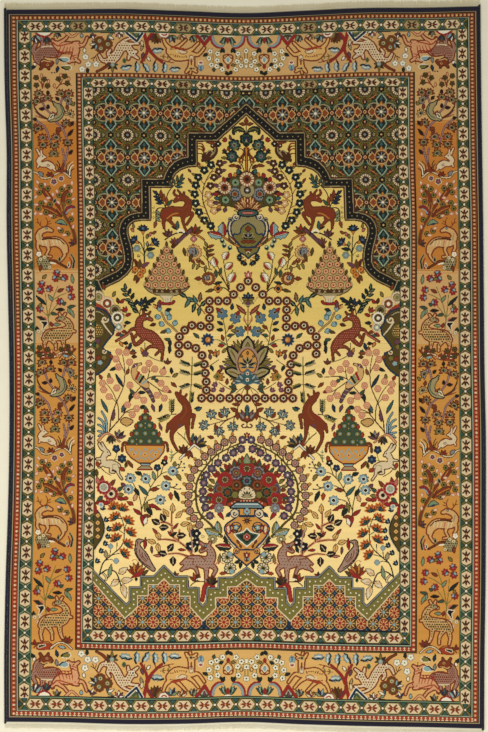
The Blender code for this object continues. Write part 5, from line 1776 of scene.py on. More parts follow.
"sideRoses": """
from 57 313:
stem moss 1.1 .8: -7.4 17 -8.8 5 -10.6 -7.4 -11.4 -19, -8.6 3.4 -5 -12 1 -27, -4.6 -13 3 -17.4 9.2 -19.8,
-9 5 -4.6 -2.4 0 -8, -9.2 3 -14.4 -1.6
blueRose: -.4 -39.8 130 .92, -1.2 -34.6 60 .92, 7.6 -35.4 -20 .92, -15.4 -29 130 .92, -16.2 -22.4 70 .92,
-7.6 -24.4 -20 .92, 12.8 -24 10 .92, 14.6 -16.4 10 .92, 3 -11.4 -170 .92, -17.2 -4.2 -170 .92
leaf hide 2.8: .6 -21.4 64 6.6
leaf bottle 2.8: -11.4 -8.4 -46 12.4, -20.2 13.6 170 6.4
leaf black 2.8: 7.4 -3.2 -88 8.4
leaf green 2.8: -6.2 0 104 6.4, 10.6 -5.6 78 7.6, 5.4 -8.4 60 4
leaf sage 2.8: 15.8 -30 -6 8.6, -4.2 -12 -34 7.4, 11.4 -5 164 6.4, 13.2 -4 156 9.4, -3.6 11.6 88 7
leaf moss 2.8: -14.6 -34.4 46 5.4, .4 -36 130 4, -16 -9.6 -160 4.6
leaf red 2.8: -4.8 13.4 -20 4.6
shape bottle hide: -20 3.8 -15.4 3.6 -9 9 -13.6 8.6
shape black cream .8: -16.4 8.8 -10.4 8.4 -9.6 10.4 -14.4 16.4 -13.4 11.6
stem rose 1.4: -12.4 4 -10.8 5.8
floret 1.9 cream hide khaki: -18.6 18.6, -12.6 18.4, -14.8 22.8
limbs tan hide 1.1: 4.6 5.4 2.6 .8 6.4 1.2, 3.8 3.4 1 2.4 .4 .6, 6.6 3.4 1 8.4 .4 .6,
5.6 5.6 2.4 10.4 8.6 2.4 12.8 14 3 8.4 20 5.6 .6 21.4 5.8 -7.4 22.2 5.2 -12 25.6 2.6, 13.6 17.4 1.6 17.8 18.4 .7,
-10.6 25.4 2 -12.4 31.6 1.1 -11.4 36.6 .8, -5.4 26.4 1.9 -1.6 31 1.1 -1.2 36.4 .8, 5.8 25 1.9 7 32 1.1 10.2 37.4 .8
fleck olive 2.4 .85 .8:
stem hide .8: -12 23.6 -8 17.8 0 15.4 8.4 15.4
limbs khaki brown: 5 5 2 1.6 6 .8
disc .7 black: 4.4 4.6
blob brick hide: -13 40 -5 40 0 43.6 -7 45.6 -16 44.6
stem hide 1.4 1.1: -19 43.6 -13 39.2 -6 38.2 -.4 41.4
stem bottle 2.4 1.1 cream: -13.4 42.4 -8.4 41.2
stem cream 1.4 1.1 brown: -2.4 43.8 4.6 39.4 11.6 39.6 18 44.6
leaf skyBlue 2.8: 11.8 43.8 -76 7
tuft hide/hide/red/hide 7.4 50: 13.8 39.6
tuft hide/red/hide 5: -18.4 41
""",
"borderLion": """
from 71 675:
limbs dusk hide 1.1: -29 -14 3 -33 -8.6 4 -30 -1.6 4.6 -22.4 -1 5.2 -15.6 -1.4 5 -11.6 2 3.2,
-35.6 -4.4 2 -38.2 .6 1.4 -35 8.4 1, -28.4 3.4 2.2 -28.6 10 1.2 -30.4 15.4 .9,
-17.4 3.6 2.2 -20.6 8.6 1.2 -18.4 12.4 .9
fleck hide 2.1 .8 .9:
stem cream 1.1: -29.6 4 -23.4 5 -17.6 4.6
limbs hide brown .8: -27.4 -14.6 3.4 -23.4 -16 3 -20 -14.4 1.7, -29 -18 1.3 -31 -21.4 .7, -24 -18.6 1.1 -22.6 -21.4 .6
stem tan 1.1 .8: -30 -13 -27.4 -11.6 -24.4 -12.6 -20.4 -13
stem hide 1.1: -28.6 -6.4 -21.6 -8.4 -15.4 -7 -11 -1.6, -28 -17.4 -26.4 -14.4
disc .7 black tan .4: -24 -16.6
limbs peach hide 1.1: 2.6 -9.6 2.8 3.6 -4 2.5 3.6 1.6 3.6 -2.4 4.4 4.4 -9.6 4 4.4 -15.4 7.4 2.6,
0 -11.4 1.2 -2.4 -13.2 .8, 5.6 -11.4 1.2 7.6 -12.8 .8, 6 6 1.8 12.2 7.4 1 15.6 15.6 .8, 1.6 8 1.6 6.6 9.6 .9,
-12.4 8.4 1.8 -7.4 12.4 1 -3.6 17 .8, -16 8 1.4 -19 11.6 .8
stem brick 1.2 .6: -12.6 -1 -10.4 5.6, -9.4 -2.6 -7 4.8, -6.2 -3.6 -3.8 4, -3 -4 -1 4.4, .8 -3.4 1.6 4.6,
1.2 -9 5.4 -7.4, 1 -6.2 5.4 -4.6, -9 9.6 -12.6 6.4, 8.4 5.6 6.8 8.6
stem red 1.1 .8: -14 -1.6 -8 -4 -1.6 -3.6 2 -7
stem brick 1.4 1.1: -18.4 9.4 -13.4 5.4 -4.4 7.6 1.6 9
stem brown .8: 3.4 -12 3 -16.6, 26 -3 23 -7.4 21.6 -11.4, 23.4 -6.6 19.6 -9, 24 -6 25.4 -10.6
disc .7 black: 2.6 -10.4
shape ivory red 1.4: -34.6 22.4 -30.6 18.2 -26.6 16.8 -22.6 18.4 -20 22.4
stem peach 2.4 1.1 hide: -5.6 21.8 .6 16.4 7.4 21.8
line black 1.2: -20 22 -7 22, 9 22 42.6 22
tuft skyBlue/deepBlue/ivory/deepBlue/skyBlue 9 40: -35 17.6
tuft deepBlue/teal/deepBlue 7.4 36: -24.4 15.6
tuft moss/grey/bottle 6.4 40: -14 21
leaf deepBlue 2.8: -13.6 -18.4 -12 6.4
leaf grey 2.8: -14 -9.4 -8 6, 19.4 19.6 60 5
leaf bottle 2.8: -36.4 -17 -40 6, 15.8 -20.2 4 5
leaf ivory 2.8: -38 -14.4 40 4, 12.8 -2 176 5
leaf skyBlue 2.8: 10 19.8 4 4.6
blob moss ivory: -9.6 -18.4 -7.6 -21.4 -3.6 -22.4 -.4 -20 -3 -17.4
blob skyBlue ivory: -11.8 -9.2 -9.8 -12.2 -5.8 -13.2 -2.6 -10.8 -5.2 -8.2
stem black 1.8 .8: -9.6 -19 -7 -21.6 -2.8 -22.6, -11.8 -9.8 -9.2 -12.4 -5 -13.4
floret 3.2 ivory sage grey: 10.3 -21.2, 16.6 -15.4, 24.4 -15.2, 14 -7
""",
"borderLynx": """
from 134 679:
eyeRose: -33.6 -.6, -26.6 4.4, -35 7.8
tuft teal/ivory/bottle/skyBlue 7.4: -38 3.6 -70
tuft teal/ivory/sage 7: -26.4 13.6 60
tuft deepBlue/ivory/plum 5.6: -42.4 14.6 20
limbs cream hide 1.1: -25.4 -16.4 3.4 -21.4 -12 4.4 -17 -6.4 3.9 -14 0 4.2 -8.4 3 3.9 -5.4 -.4 3 -2.4 -5 3.4,
-5.2 -8.4 1.3 -6 -12.4 .7, .2 -8.6 1.3 3.6 -11.4 .8, -2 -5 2.6 1.6 -3.6 1.2, -26.6 -14.6 2 -32 -14.4 1.4 -35.4 -8.4 .9,
-24 -10.4 2 -26.4 -6.4 1.2 -24.2 -2.4 .8, -15 3.4 1.8 -10 9 1 -3.6 11.8 .8, -6.4 4.6 1.6 -1 5.6 .9 3.8 5.8 .7
fleck hide 2.5 .7 .9:
stem hide 2.4 1.4 brown: -25.6 -18.4 -31 -23.6 -37.6 -27.4
disc 1 black ivory .5: -1 -6
tuft green/bottle/moss/bottle/green 7.4 100: -22 -20
disc 1.6 paleGreen grey: -22 -19.6
skyLeaf: -8.6 -21.4 -80 1.05, 23.2 -.4 -86 1.05, 2 -21.4, 11.4 -22.2 30, 20.4 -20.6 -4, 29.8 -21.2 -8, 40.6 -21.8 -86
bud 4.6 3.2 green moss: -10 -12
stem red 2.4 1.4 hide: 9.8 18 12.4 5.6 12.6 -4 7 -15.6, 13.6 3 16.6 -3.6 21.6 -9.4 28 -15, 18 18 13.6 11 13 5.6
stem hide 1.4 .8: 11 -7 10.6 -14.6, 22 -9.6 20.8 -16.6, 21.6 -9.4 32 -13.6 40 -15.2, 34 -14 36.4 -11.4
frond 7 2 moss 4.4 1.8 hide: 26.6 -8 84
leaf plum 2.8: 9.2 -4.6 -20 6.4
leaf ivory 2.8: 12.8 -9.6 40 5
leaf khaki 2.8: 8.4 5.4 -14 7.4
leaf cream 2.8: 7.4 9.4 6 6.4
shape moss ivory: -7.6 18.4 2.4 9 7.6 18.4
line deepBlue 2.4 ivory: -8 18 2.4 8.6 8 18
stem green 1.8: -1 17 2.6 13.6 4.4 17
tuft ivory/rose/ivory/plum/ivory 6.4 80: -15 18
tuft plum/hide/olive/brown/hide/moss 11.4 44: 22 18
shape ivory rose .8: 24.6 18.6 26.4 15 30 13.6 33.4 15.2 34.8 18.6
stem brick 1.4: 27.6 17.6 30 16.4 32.6 17.6
""",
"borderDoe": """
from 206 675:
limbs gold hide 1.1: -15 -16.6 2.8 -14.4 -9.4 2.4 -15.4 -2.4 3.2 -21.4 -1.6 5 -29.4 -1.6 5.6 -35.4 2.4 4,
-18 -18.6 1.2 -20 -21.6 .7, -12.4 -18.6 1.2 -9.6 -20.8 .7, -14.6 -16.4 2 -10.4 -17.4 1, -15.4 -21.2 .7 -16 -23.2 .6,
-13.4 -.4 1.7 -7.6 -1 1 -1.6 6.8 .8, -17.4 2.6 1.8 -12.6 6.4 1 -7.6 12.4 .8, -36 5 2 -40.4 10 1.2 -42.6 15.8 .8,
-31.4 4.4 1.8 -25.4 10 1 -20.2 15.6 .8
blob cream hide: -27 2 -23.4 -.4 -19.4 1.4 -21.6 4.4 -25.6 4, -16.4 -7.4 -14 -8.6 -13.2 -3.4 -16 -2.6
stem plum 1.8 .8: -16 -17.4 -12.4 -17.4 -10.6 -17.2
stem hide 1.1 .8: -35 -1.6 -35.8 -2, -32.8 -2 -33.6 -2, -30.6 -2.4 -31.4 -4.4, -28.4 -2.8 -29.2 -4.4,
-26.2 -4 -27 -4.4, -24 -4 -24.8 -4.4, -21.8 -4 -22.6 -4.4, -19.6 -4 -20.4 -2
spiral 2.2 cream 1 1: -28.6 1.6
stem hide .8: -36 4.6 -28.6 5 -20.6 2.6
stem brick 2.4 1.4: -34.4 7 -28.6 6.4 -21.6 4.2
stem hide 1.4: -14.6 -12.6 -15 -6
disc 1.1 black khaki .5: -15 -17.4
bud 7.4 5.4 skyBlue grey deepBlue: -5.2 -12
stem blue 1.4: -5.2 -13.4 -5.2 -18.4
tulip 2.8 red rose ivory -: -5.2 -8.6 0 .8
tuft teal/skyBlue/deepBlue/sage 8.4: -34 20.4
tuft cream/orange/cream/brick/cream 6.4: -24 21.4
tuft teal/paleGreen/deepBlue/sage 7.6 34: -12.6 21 -6
shape paleGreen ivory: -8.4 22.2 -1.4 11.4 5 22.2
line red 2.2 hide: -9.4 21.6 -1.4 10.8 6 22.4
tuft green/plum/green 5.6: -1.6 22
stem moss .8: 6 6 7.4 -5 6.6 -15, 13.4 4 10 -7 15 -19, 30.4 4.4 30.4 -7 29.8 -18, 38.6 4 38.8 -7 35.6 -13.6
whiteFlower: 16.6 -17.8, 10.8 -14.4, 5.3 -12.6, 11.4 -7.6, 3.1 -5.2, 11.7 .2, 4.4 2.8, 30 -17.8, \
35.4 -13.4, 31.6 -8.6,
40.4 -8, 32.4 .4, 40.4 3.6, 41.6 -14
leaf green 2.8: 7.4 -16.4 14 4
leaf bottle 2.8: 20 -20.4 30 4.4, 26 -20 -40 4.4, 1.4 0 -60 5, 13.6 -11.4 60 4, 17.4 6.6 -30 5.4, 26.6 6.6 30 5.4,
16.4 6 30 4.4, 27.6 6 -30 4.4
leaf moss 2.8: 29 -12.4 -80 4
leaf gold 2.8: 35 -3.6 10 4
stem hide 1.4 1.1: 22.2 -.4 17.6 -2 17.6 -7.6 20.2 -11.4 22.2 -13.2
stem hide 1.1: 22.2 -1.2 19.2 -5 17.4 -3
stem red 3.2 1.4: 5.4 20 6.4 13 11.4 7.6 16.6 7.2, 38.6 20 37.6 13 32.6 7.6 27.4 7.2
stem skyBlue 1.4 .8 grey: 7 19.6 8.2 14 12.6 9.4 17 9.2, 37 19.6 35.8 14 31.4 9.4 27 9.2
leaf teal 2.2 bottle: 20.2 20 -44 9.4, 23.8 20 44 9.4
leaf paleGreen 2.2 bottle: 20.2 20 -28 9.4, 23.8 20 28 9.4
leaf bottle 2.2 sage: 20.2 20 -12 9.4, 23.8 20 12 9.4
stem hide 1.4 1.1: 22.2 -.4 26.8 -2 26.8 -7.6 24.2 -11.4 22.2 -13.2
stem hide 1.1: 22.2 -1.2 25.2 -5 27 -3
bud 6 4 skyBlue ivory grey: 22.2 -3.6
bud 4.2 2.6 red hide: 22.2 -12.6
bud 6.4 2.6 red hide: 21.8 19.4
stem ivory 1.1: 16.4 22.4 21.8 20.2 29 22.6
""",
}


# the whole chart

def drawChart():
    chart = Chart()
    layBorders(chart)
    layBorderMotifs(chart)
    sketch = Sketch(chart)
    frameKnots = chart.knots.copy()
    spandrelGround(chart)
    archBand(chart, sketch)
    for part in ("upperLeft", "archTree", "upperWreath", "rooster", "upperBouquet", "upperVase", "roundFlowers",
                 "standingDeer", "upperDish", "edgeFlowers", "blueDrops", "leapingDeer", "lotus", "chainGarden",
                 "chainFrame", "underChain", "blossomTree", "parrot", "rearingDeer", "lowerDish", "rabbit",
                 "starBells", "redRosettes", "mapleSpray", "partridge", "autumnSpray", lowerWreath, "lowerBouquet",
                 "lowerVase", "vaseSides", "spottedDeer"):
        if callable(part):
            part(sketch)
        else:
            weave(sketch, drawings[part])
    parapet(chart, sketch)
    x0, y0, y1 = bandBox("field", 0)
    win = chart.window(x0 + 1, 240, y0 + 1, y1 - 1)
    frameKnots[win] = chart.knots[win]
    knots = np.concatenate([frameKnots, frameKnots[:, ::-1]], axis=1)
    print("chart drawn:", knots.shape[1], "by", knots.shape[0], "knots")
    return knots


# shader and node helpers

def addNode(tree, kind, settings=None, inputs=None, output=0):
    # one node of any kind: its settings first, then the values or links of its sockets
    node = tree.nodes.new(kind)
    for name, value in (settings or {}).items():
        if name == "stops":
            ramp = node.color_ramp
            while len(ramp.elements) > 1:
                ramp.elements.remove(ramp.elements[-1])
            for k, (place, colour) in enumerate(value):
                stop = ramp.elements[0] if k == 0 else ramp.elements.new(place)
                stop.position, stop.color = place, colour
        elif name == "interpolation":
            node.color_ramp.interpolation = value
        else:
            setattr(node, name, value)
    for name, value in (inputs or {}).items():
        # by its number, its identifier or its name
        socket = node.inputs[name] if isinstance(name, int) else next(
            (s for s in node.inputs if s.identifier == name), None) or node.inputs[name]
        if isinstance(value, Wire):
            tree.links.new(value.socket, socket)
        else:
            socket.default_value = value
    return Wire(tree, node.outputs[output], node)


class Wire:
    # a number's socket in a node tree, which Python's own signs work on
    def __init__(self, tree, socket, node=None):
        self.tree, self.socket, self.node = tree, socket, node

    def math(self, operation, *values):
        return addNode(self.tree, "ShaderNodeMath", {"operation": operation}, dict(enumerate((self, *values))))

    def reflected(self, operation, value):
        return addNode(self.tree, "ShaderNodeMath", {"operation": operation}, {0: value, 1: self})

    def __add__(self, other): return self.math("ADD", other)
    def __radd__(self, other): return self.reflected("ADD", other)
    def __sub__(self, other): return self.math("SUBTRACT", other)
    def __rsub__(self, other): return self.reflected("SUBTRACT", other)
    def __mul__(self, other): return self.math("MULTIPLY", other)
    def __rmul__(self, other): return self.reflected("MULTIPLY", other)
    def __truediv__(self, other): return self.math("DIVIDE", other)
    def __mod__(self, other): return self.math("FLOORED_MODULO", other)
    def __rpow__(self, other): return self.reflected("POWER", other)
    def floor(self): return self.math("FLOOR")
    def out(self, name): return Wire(self.tree, self.node.outputs[name], self.node)


def linear(code):
    # a colour as the eye reads it, RRGGBB, in the renderer's own numbers
    parts = [int(code[k:k + 2], 16) / 255 for k in (0, 2, 4)]
    return tuple(v / 12.92 if v < 0.04045 else ((v + 0.055) / 1.055) ** 2.4 for v in parts) + (1.0,)


def newFinish(name, roughness, sheen=0.0):
    material = bpy.data.materials.new(name)
    material.use_nodes = True
    tree = material.node_tree
    shader = tree.nodes["Principled BSDF"]
    shader.inputs["Roughness"].default_value = roughness
    shader.inputs["Sheen Weight"].default_value = sheen
    shader.inputs["Sheen Roughness"].default_value = 0.6
    shader.inputs["Specular IOR Level"].default_value = 0.15
    return material, tree, shader


def mixColours(tree, factor, a, b, blend="MIX"):
    settings = {"data_type": "RGBA", "blend_type": blend}
    return addNode(tree, "ShaderNodeMix", settings,
                   {"Factor_Float": factor, "A_Color": a, "B_Color": b}, 2)


def noise(tree, place, scale, detail=2.0, stretch=None):
    if stretch:
        place = addNode(tree, "ShaderNodeVectorMath", {"operation": "MULTIPLY"}, {0: place, 1: stretch})
    return addNode(tree, "ShaderNodeTexNoise", {}, {"Vector": place, "Scale": scale, "Detail": detail})


# pile

pile = {
    "knotsInCell": 4,  # along each side of a mesh face
    "rim": ((0.0022, 0.0090), (0.0002, 0.0065), (0.0, 0.0015), (0.0010, 0.0)),  # inset and height
    "roughness": 0.92,
    "sheen": 0.12,
    "streaks": 0.13,  # how far lighter and darker wool shows in bands across the rug
    "streakScale": (2.2, 70.0, 1.0),
    "mottle": 0.16,  # the same from knot to knot
    "mottleScale": 330.0,
    "clouds": 0.12,  # and in wide soft patches
    "cloudScale": 6.0,
    "knotDepth": 0.35,
    "knotHigh": 0.0012,  # in metres
    "fuzzScale": 900.0,
}

back = {
    "knotDepth": 0.6,
    "faded": 0.22,  # how far its colours go towards the foundation's
    "foundation": "b9a98a",
}


def rugShares(columns, rows, inset):
    # shares of the rug's width and length for a grid of points over the pile
    inX, inY = insetShares(inset)
    return inX + (1 - 2 * inX) * np.linspace(0, 1, columns + 1), inY + (1 - 2 * inY) * np.linspace(0, 1, rows + 1)


def packKnots(knots, cell):
    # four floats for each face, one for each row of its knots, low digits at the left
    rows, columns = knots.shape[0] // cell, knots.shape[1] // cell
    blocks = knots.reshape(rows, cell, columns, cell).astype(np.int64)
    weights = len(wools) ** np.arange(cell)
    return (blocks * weights).sum(3).transpose(1, 0, 2).reshape(cell, -1).astype(np.float32)


def gridMesh(name, columns, rows, inset, height, packed, rim=None, faceDown=False):
    # a flat grid over the rug, row by row from the head to the foot, and a rim that goes down to the floor
    across, along = rugShares(columns, rows, inset)
    u, v = np.meshgrid(across, along[::-1])
    x, y = onRug(u, v)
    points = np.stack([x, y, np.full(x.shape, height)], -1).reshape(-1, 3)
    index = np.arange((rows + 1) * (columns + 1)).reshape(rows + 1, columns + 1)
    a, b, c, d = index[1:, :-1], index[1:, 1:], index[:-1, 1:], index[:-1, :-1]
    faces = np.stack([a, b, c, d], -1).reshape(-1, 4)
    corner = np.tile(np.array([(0, 0), (1, 0), (1, 1), (0, 1)], np.float32), (len(faces), 1))
    flat = np.stack([u, v], -1).reshape(-1, 2)[faces.ravel()]
    if rim:
        ring = np.concatenate([index[-1, :-1], index[::-1, -1][:-1], index[0, ::-1][:-1], index[:-1, 0]])
        shares = np.stack([u, v], -1).reshape(-1, 2)[ring]
        previous = ring
        baseX, baseY = across[0], along[0]
        for deep, high in rim[1:]:
            inX, inY = insetShares(deep)
            rx = inX + (shares[:, 0] - baseX) * (1 - 2 * inX) / (1 - 2 * baseX)
            ry = inY + (shares[:, 1] - baseY) * (1 - 2 * inY) / (1 - 2 * baseY)
            px, py = onRug(rx, ry)
            current = len(points) + np.arange(len(ring))
            points = np.concatenate([points, np.stack([px, py, np.full(len(ring), high)], -1)])
            sides = np.stack([current, np.roll(current, -1), np.roll(previous, -1), previous], -1)
            faces = np.concatenate([faces, sides])
            previous = current
    mesh = bpy.data.meshes.new(name)
    if faceDown:
        faces = faces[:, ::-1]
        corner = corner.reshape(-1, 4, 2)[:, ::-1].reshape(-1, 2)
        flat = flat.reshape(-1, 4, 2)[:, ::-1].reshape(-1, 2)
    mesh.vertices.add(len(points))
    mesh.vertices.foreach_set("co", points.astype(np.float32).ravel())
    mesh.loops.add(faces.size)
    mesh.loops.foreach_set("vertex_index", faces.astype(np.int32).ravel())
    mesh.polygons.add(len(faces))
    mesh.polygons.foreach_set("loop_start", (np.arange(len(faces)) * 4).astype(np.int32))
    mesh.update(calc_edges=True)
    extra = len(faces) * 4 - len(corner)
    navyKnots = float(sum(wool["navy"] * len(wools) ** k for k in range(len(packed))))
    rimKnots = np.full(len(faces) - packed.shape[1], navyKnots, np.float32)
    for k, row in enumerate(packed):
        values = np.concatenate([row, rimKnots])
        mesh.attributes.new("knotRow%d" % k, "FLOAT", "FACE").data.foreach_set("value", values)
    cellMap = mesh.uv_layers.new(name="cell", do_init=False)
    cellMap.data.foreach_set("uv", np.concatenate([corner.ravel(), np.full(extra * 2, 0.5, np.float32)]))
    mesh.validate()
    return mesh, flat, extra


def bakeMap(mesh, flat, extra):
    # the flat rug fills the map's square, and the rim has a thin strip of navy wool at its side
    places = np.zeros((extra, 2), np.float32)
    if extra:
        square, small, spot = [(0.2, 0.2), (0.8, 0.2), (0.8, 0.8), (0.2, 0.8)], 0.004, (0.9935, 0.5)
        places = (np.tile(np.array(square), (extra // 4, 1)) * small + spot).astype(np.float32)
    low, high = flat.min(0), flat.max(0)
    room, margin = (0.988, 0.996), (0.001, 0.002)
    inner = (flat - low) / (high - low) * room + margin
    layer = mesh.uv_layers.new(name="OFBake", do_init=False)
    layer.data.foreach_set("uv", np.concatenate([inner.astype(np.float32), places]).ravel())


def knotFinish(name, relief, faded=0.0):
    material, tree, shader = newFinish(name, pile["roughness"], pile["sheen"])
    cell = pile["knotsInCell"]
    place = addNode(tree, "ShaderNodeUVMap", {"uv_map": "cell"})
    split = addNode(tree, "ShaderNodeSeparateXYZ", {}, {0: place})
    # where a point is in its face, in knots, kept just inside the last one
    u = (split * (cell * 0.9999)).math("MINIMUM", cell - 0.001)
    v = (split.out("Y") * (cell * 0.9999)).math("MINIMUM", cell - 0.001)
    column, row = u.floor(), cell - 1 - v.floor()
    rowValue = None
    for k in range(cell):
        value = addNode(tree, "ShaderNodeAttribute", {"attribute_name": "knotRow%d" % k}, {}, "Fac")
        chosen = value * row.math("COMPARE", float(k), 0.1)
        rowValue = chosen if rowValue is None else rowValue + chosen
    kinds = float(len(wools))
    digit = (rowValue / kinds ** column).floor() % kinds
    stops = [(k / kinds, linear(code)) for k, code in enumerate(wools.values())]
    colour = addNode(tree, "ShaderNodeValToRGB", {"interpolation": "CONSTANT", "stops": stops},
                     {0: (digit + 0.5) / kinds})
    where = addNode(tree, "ShaderNodeTexCoord", {}, {}, "Object")
    streak = noise(tree, where, 1.0, 3.0, pile["streakScale"])
    mottle = noise(tree, where, pile["mottleScale"])
    cloud = noise(tree, where, pile["cloudScale"])
    light = (1.0 + (streak - 0.5) * pile["streaks"] * 2 + (mottle - 0.5) * pile["mottle"] * 2
             + (cloud - 0.5) * pile["clouds"])
    grey = addNode(tree, "ShaderNodeCombineColor", {}, {0: light, 1: light, 2: light})
    worn = mixColours(tree, 1.0, colour, grey, "MULTIPLY")
    if faded:
        worn = mixColours(tree, faded, worn, linear(back["foundation"]))
    tree.links.new(worn.socket, shader.inputs["Base Color"])
    # each knot is a low tuft
    du, dv = (u % 1.0) - 0.5, (v % 1.0) - 0.5
    tuft = 1.0 - (du * du + dv * dv) * 2.0
    fuzz = noise(tree, where, pile["fuzzScale"], 3.0)
    bump = addNode(tree, "ShaderNodeBump", {}, {
        "Strength": relief, "Distance": pile["knotHigh"], "Height": tuft * 0.6 + fuzz * 0.8}, "Normal")
    tree.links.new(bump.socket, shader.inputs["Normal"])
    return material


def showPiece(name, mesh, finish, slot, *nodes):
    piece = bpy.data.objects.new(name, mesh)
    bpy.context.scene.collection.objects.link(piece)
    if not mesh.materials:
        mesh.materials.append(finish)
    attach(piece, "root")
    if nodes:
        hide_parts(*nodes)
    return piece


def makePile(knots):
    cell = pile["knotsInCell"]
    columns, rows = knots.shape[1] // cell, knots.shape[0] // cell
    packed = packKnots(knots, cell)
    inset, high = pile["rim"][0]
    mesh, flat, extra = gridMesh("knotted_pile", columns, rows, inset, high, packed, pile["rim"])
    bakeMap(mesh, flat, extra)
    finish = knotFinish("knotted wool pile", pile["knotDepth"])
    piece = showPiece("knotted_pile", mesh, finish, "wool_pile", "rug_body")
    print("pile laid:", len(mesh.polygons), "faces")
    return piece


def makeBack(knots):
    # the underside shows the same knots from behind, coarser and duller
    cell = pile["knotsInCell"]
    half = knots[::2, ::2]
    half = half[:half.shape[0] // cell * cell, :half.shape[1] // cell * cell]
    columns, rows = half.shape[1] // cell, half.shape[0] // cell
    inset, low = pile["rim"][-1]
    mesh, flat, extra = gridMesh("rug_back", columns, rows, inset, low, packKnots(half, cell), None, True)
    bakeMap(mesh, flat, extra)
    finish = knotFinish("knotted back", back["knotDepth"], back["faded"])
    piece = showPiece("rug_back", mesh, finish, "wool_pile")
    print("underside laid:", len(mesh.polygons), "faces")
    return piece


# side cords and fringes, made by Geometry Nodes

cord = {
    "pitch": 0.0026,  # from one turn of wool to the next
    "yarn": 0.0022,  # how thick a turn is
    "lean": 0.42,  # how far a turn leans along the side, in radians
    "overrun": 0.004,  # past the pile at each end
    "spread": 0.0010,  # wider than the part's cord
    "stations": 120,
    "turnSides": 14,
    "yarnSides": 5,
    "sway": 0.05,  # how far the lean varies
    "least": 0.97,  # the smallest turn's size, of 1
    "core": 1.1,  # how far the core fills out the turns, in yarns
    "seeds": (3, 5),  # for the lean and the size
    "colours": ("14141f", "30303f"),
    "roughness": 0.95,
    "fuzzScale": 900.0,
}

fringe = {
    "tufts": 150,  # at each end
    "threads": 6,  # in a tuft
    "apart": 0.00152,  # from one thread to the next
    "stripDeep": 0.0055,
    "stripThick": 0.0022,
    "long": 0.0165,
    "thread": 0.00145,
    "inset": 0.006,  # from the side cords' outer edges
    "gap": 0.0005,
    "height": 0.00125,  # of the strip's middle over the floor
    "seed": 7,
    "kinds": 3,  # of tuft, picked by chance
    "bend": 0.13,  # how far a thread leans to a side
    "shortest": 0.74,  # a thread, and a tuft below, of 1
    "smallest": 0.86,
    "taper": 0.45,
    "threadSides": 5,
    "swing": 0.09,  # how far a tuft turns, in radians
    "seeds": (11, 4, 9),  # for the kind, the swing and the size
    "stitchRows": 4,
    "stitch": 0.0036,  # from one to the next in a row
    "bead": 0.0011,
    "beadShape": (1.8, 0.72, 0.62),
    "tilt": 0.45,
    "footColours": ("e2d3a2", "fffbea"),
    # the head's warps are the same cotton as the foot's; their darker, more olive tones are painted shade of the dimmer
    # head end
    "headColours": ("d2bd7c", "fffae0"),
    "roughness": 0.95,
    "fuzzScale": 1100.0,
}


class Growth:
    # a Geometry Nodes tree with named inputs, and the plain mesh that it gives
    def __init__(self, name, floats, finish):
        self.tree = bpy.data.node_groups.new(name, "GeometryNodeTree")
        face = self.tree.interface
        face.new_socket("Geometry", in_out="OUTPUT", socket_type="NodeSocketGeometry")
        face.new_socket("Geometry", in_out="INPUT", socket_type="NodeSocketGeometry")
        self.values, self.finish = floats, finish
        for key, value in floats.items():
            kind = "NodeSocketInt" if isinstance(value, int) else "NodeSocketFloat"
            face.new_socket(key, in_out="INPUT", socket_type=kind)
        face.new_socket("finish", in_out="INPUT", socket_type="NodeSocketMaterial")
        self.entry = self.tree.nodes.new("NodeGroupInput")

    def given(self, name):
        return Wire(self.tree, self.entry.outputs[name], self.entry)

    def node(self, kind, settings=None, inputs=None, output=0):
        return addNode(self.tree, kind, settings, inputs, output)

    def vector(self, x=0.0, y=0.0, z=0.0):
        return self.node("ShaderNodeCombineXYZ", {}, {"X": x, "Y": y, "Z": z})

    def chance(self, low, high, seed):
        return self.node("FunctionNodeRandomValue", {"data_type": "FLOAT"}, {
            "Min_001": low, "Max_001": high, "Seed": seed}, 1)

    def join(self, *parts):
        node = self.tree.nodes.new("GeometryNodeJoinGeometry")
        for part in reversed(parts):
            self.tree.links.new(part.socket, node.inputs[0])
        return Wire(self.tree, node.outputs[0], node)

    def close(self, shape):
        real = self.node("GeometryNodeRealizeInstances", {}, {"Geometry": shape})
        done = self.node("GeometryNodeSetMaterial", {}, {"Geometry": real, "Material": self.given("finish")})
        end = self.tree.nodes.new("NodeGroupOutput")
        self.tree.links.new(done.socket, end.inputs[0])

    def grow(self, name, points):
        curve = bpy.data.curves.new(name, "CURVE")
        curve.dimensions = "3D"
        spline = curve.splines.new("POLY")
        spline.points.add(len(points) - 1)
        for spot, point in zip(spline.points, points):
            spot.co = (*point, 1.0)
        holder = bpy.data.objects.new(name, curve)
        bpy.context.scene.collection.objects.link(holder)
        modifier = holder.modifiers.new("growth", "NODES")
        modifier.node_group = self.tree
        for item in self.tree.interface.items_tree:
            if item.in_out == "INPUT" and item.name in self.values:
                modifier[item.identifier] = self.values[item.name]
            elif item.in_out == "INPUT" and item.name == "finish":
                modifier[item.identifier] = self.finish
        ready = holder.evaluated_get(bpy.context.evaluated_depsgraph_get())
        mesh = bpy.data.meshes.new_from_object(ready)
        mesh.name = name
        holder.modifiers.clear()
        bpy.data.objects.remove(holder, do_unlink=True)
        mesh.polygons.foreach_set("use_smooth", [True] * len(mesh.polygons))
        return mesh


def alongSide(side):
    # the middle line of a side cord, from the foot to the head
    over = cord["overrun"] / rug["length"]
    share = np.linspace(-over, 1 + over, cord["stations"])
    edge = smoothRead(rug["right"] if side else rug["left"], share) + rug["width"] / 2
    x = (edge - rug["cordWide"] / 2) * (1 if side else -1) - rug["middle"][0]
    across = np.full(share.shape, float(side))
    foot = -rug["length"] / 2 - smoothRead(rug["foot"], across)
    arch = rug["length"] / 2 + smoothRead(rug["arch"], across)
    y = foot + (arch - foot) * share - rug["middle"][1]
    return [(float(a), float(b), rug["cordHigh"] / 2) for a, b in zip(x, y)]


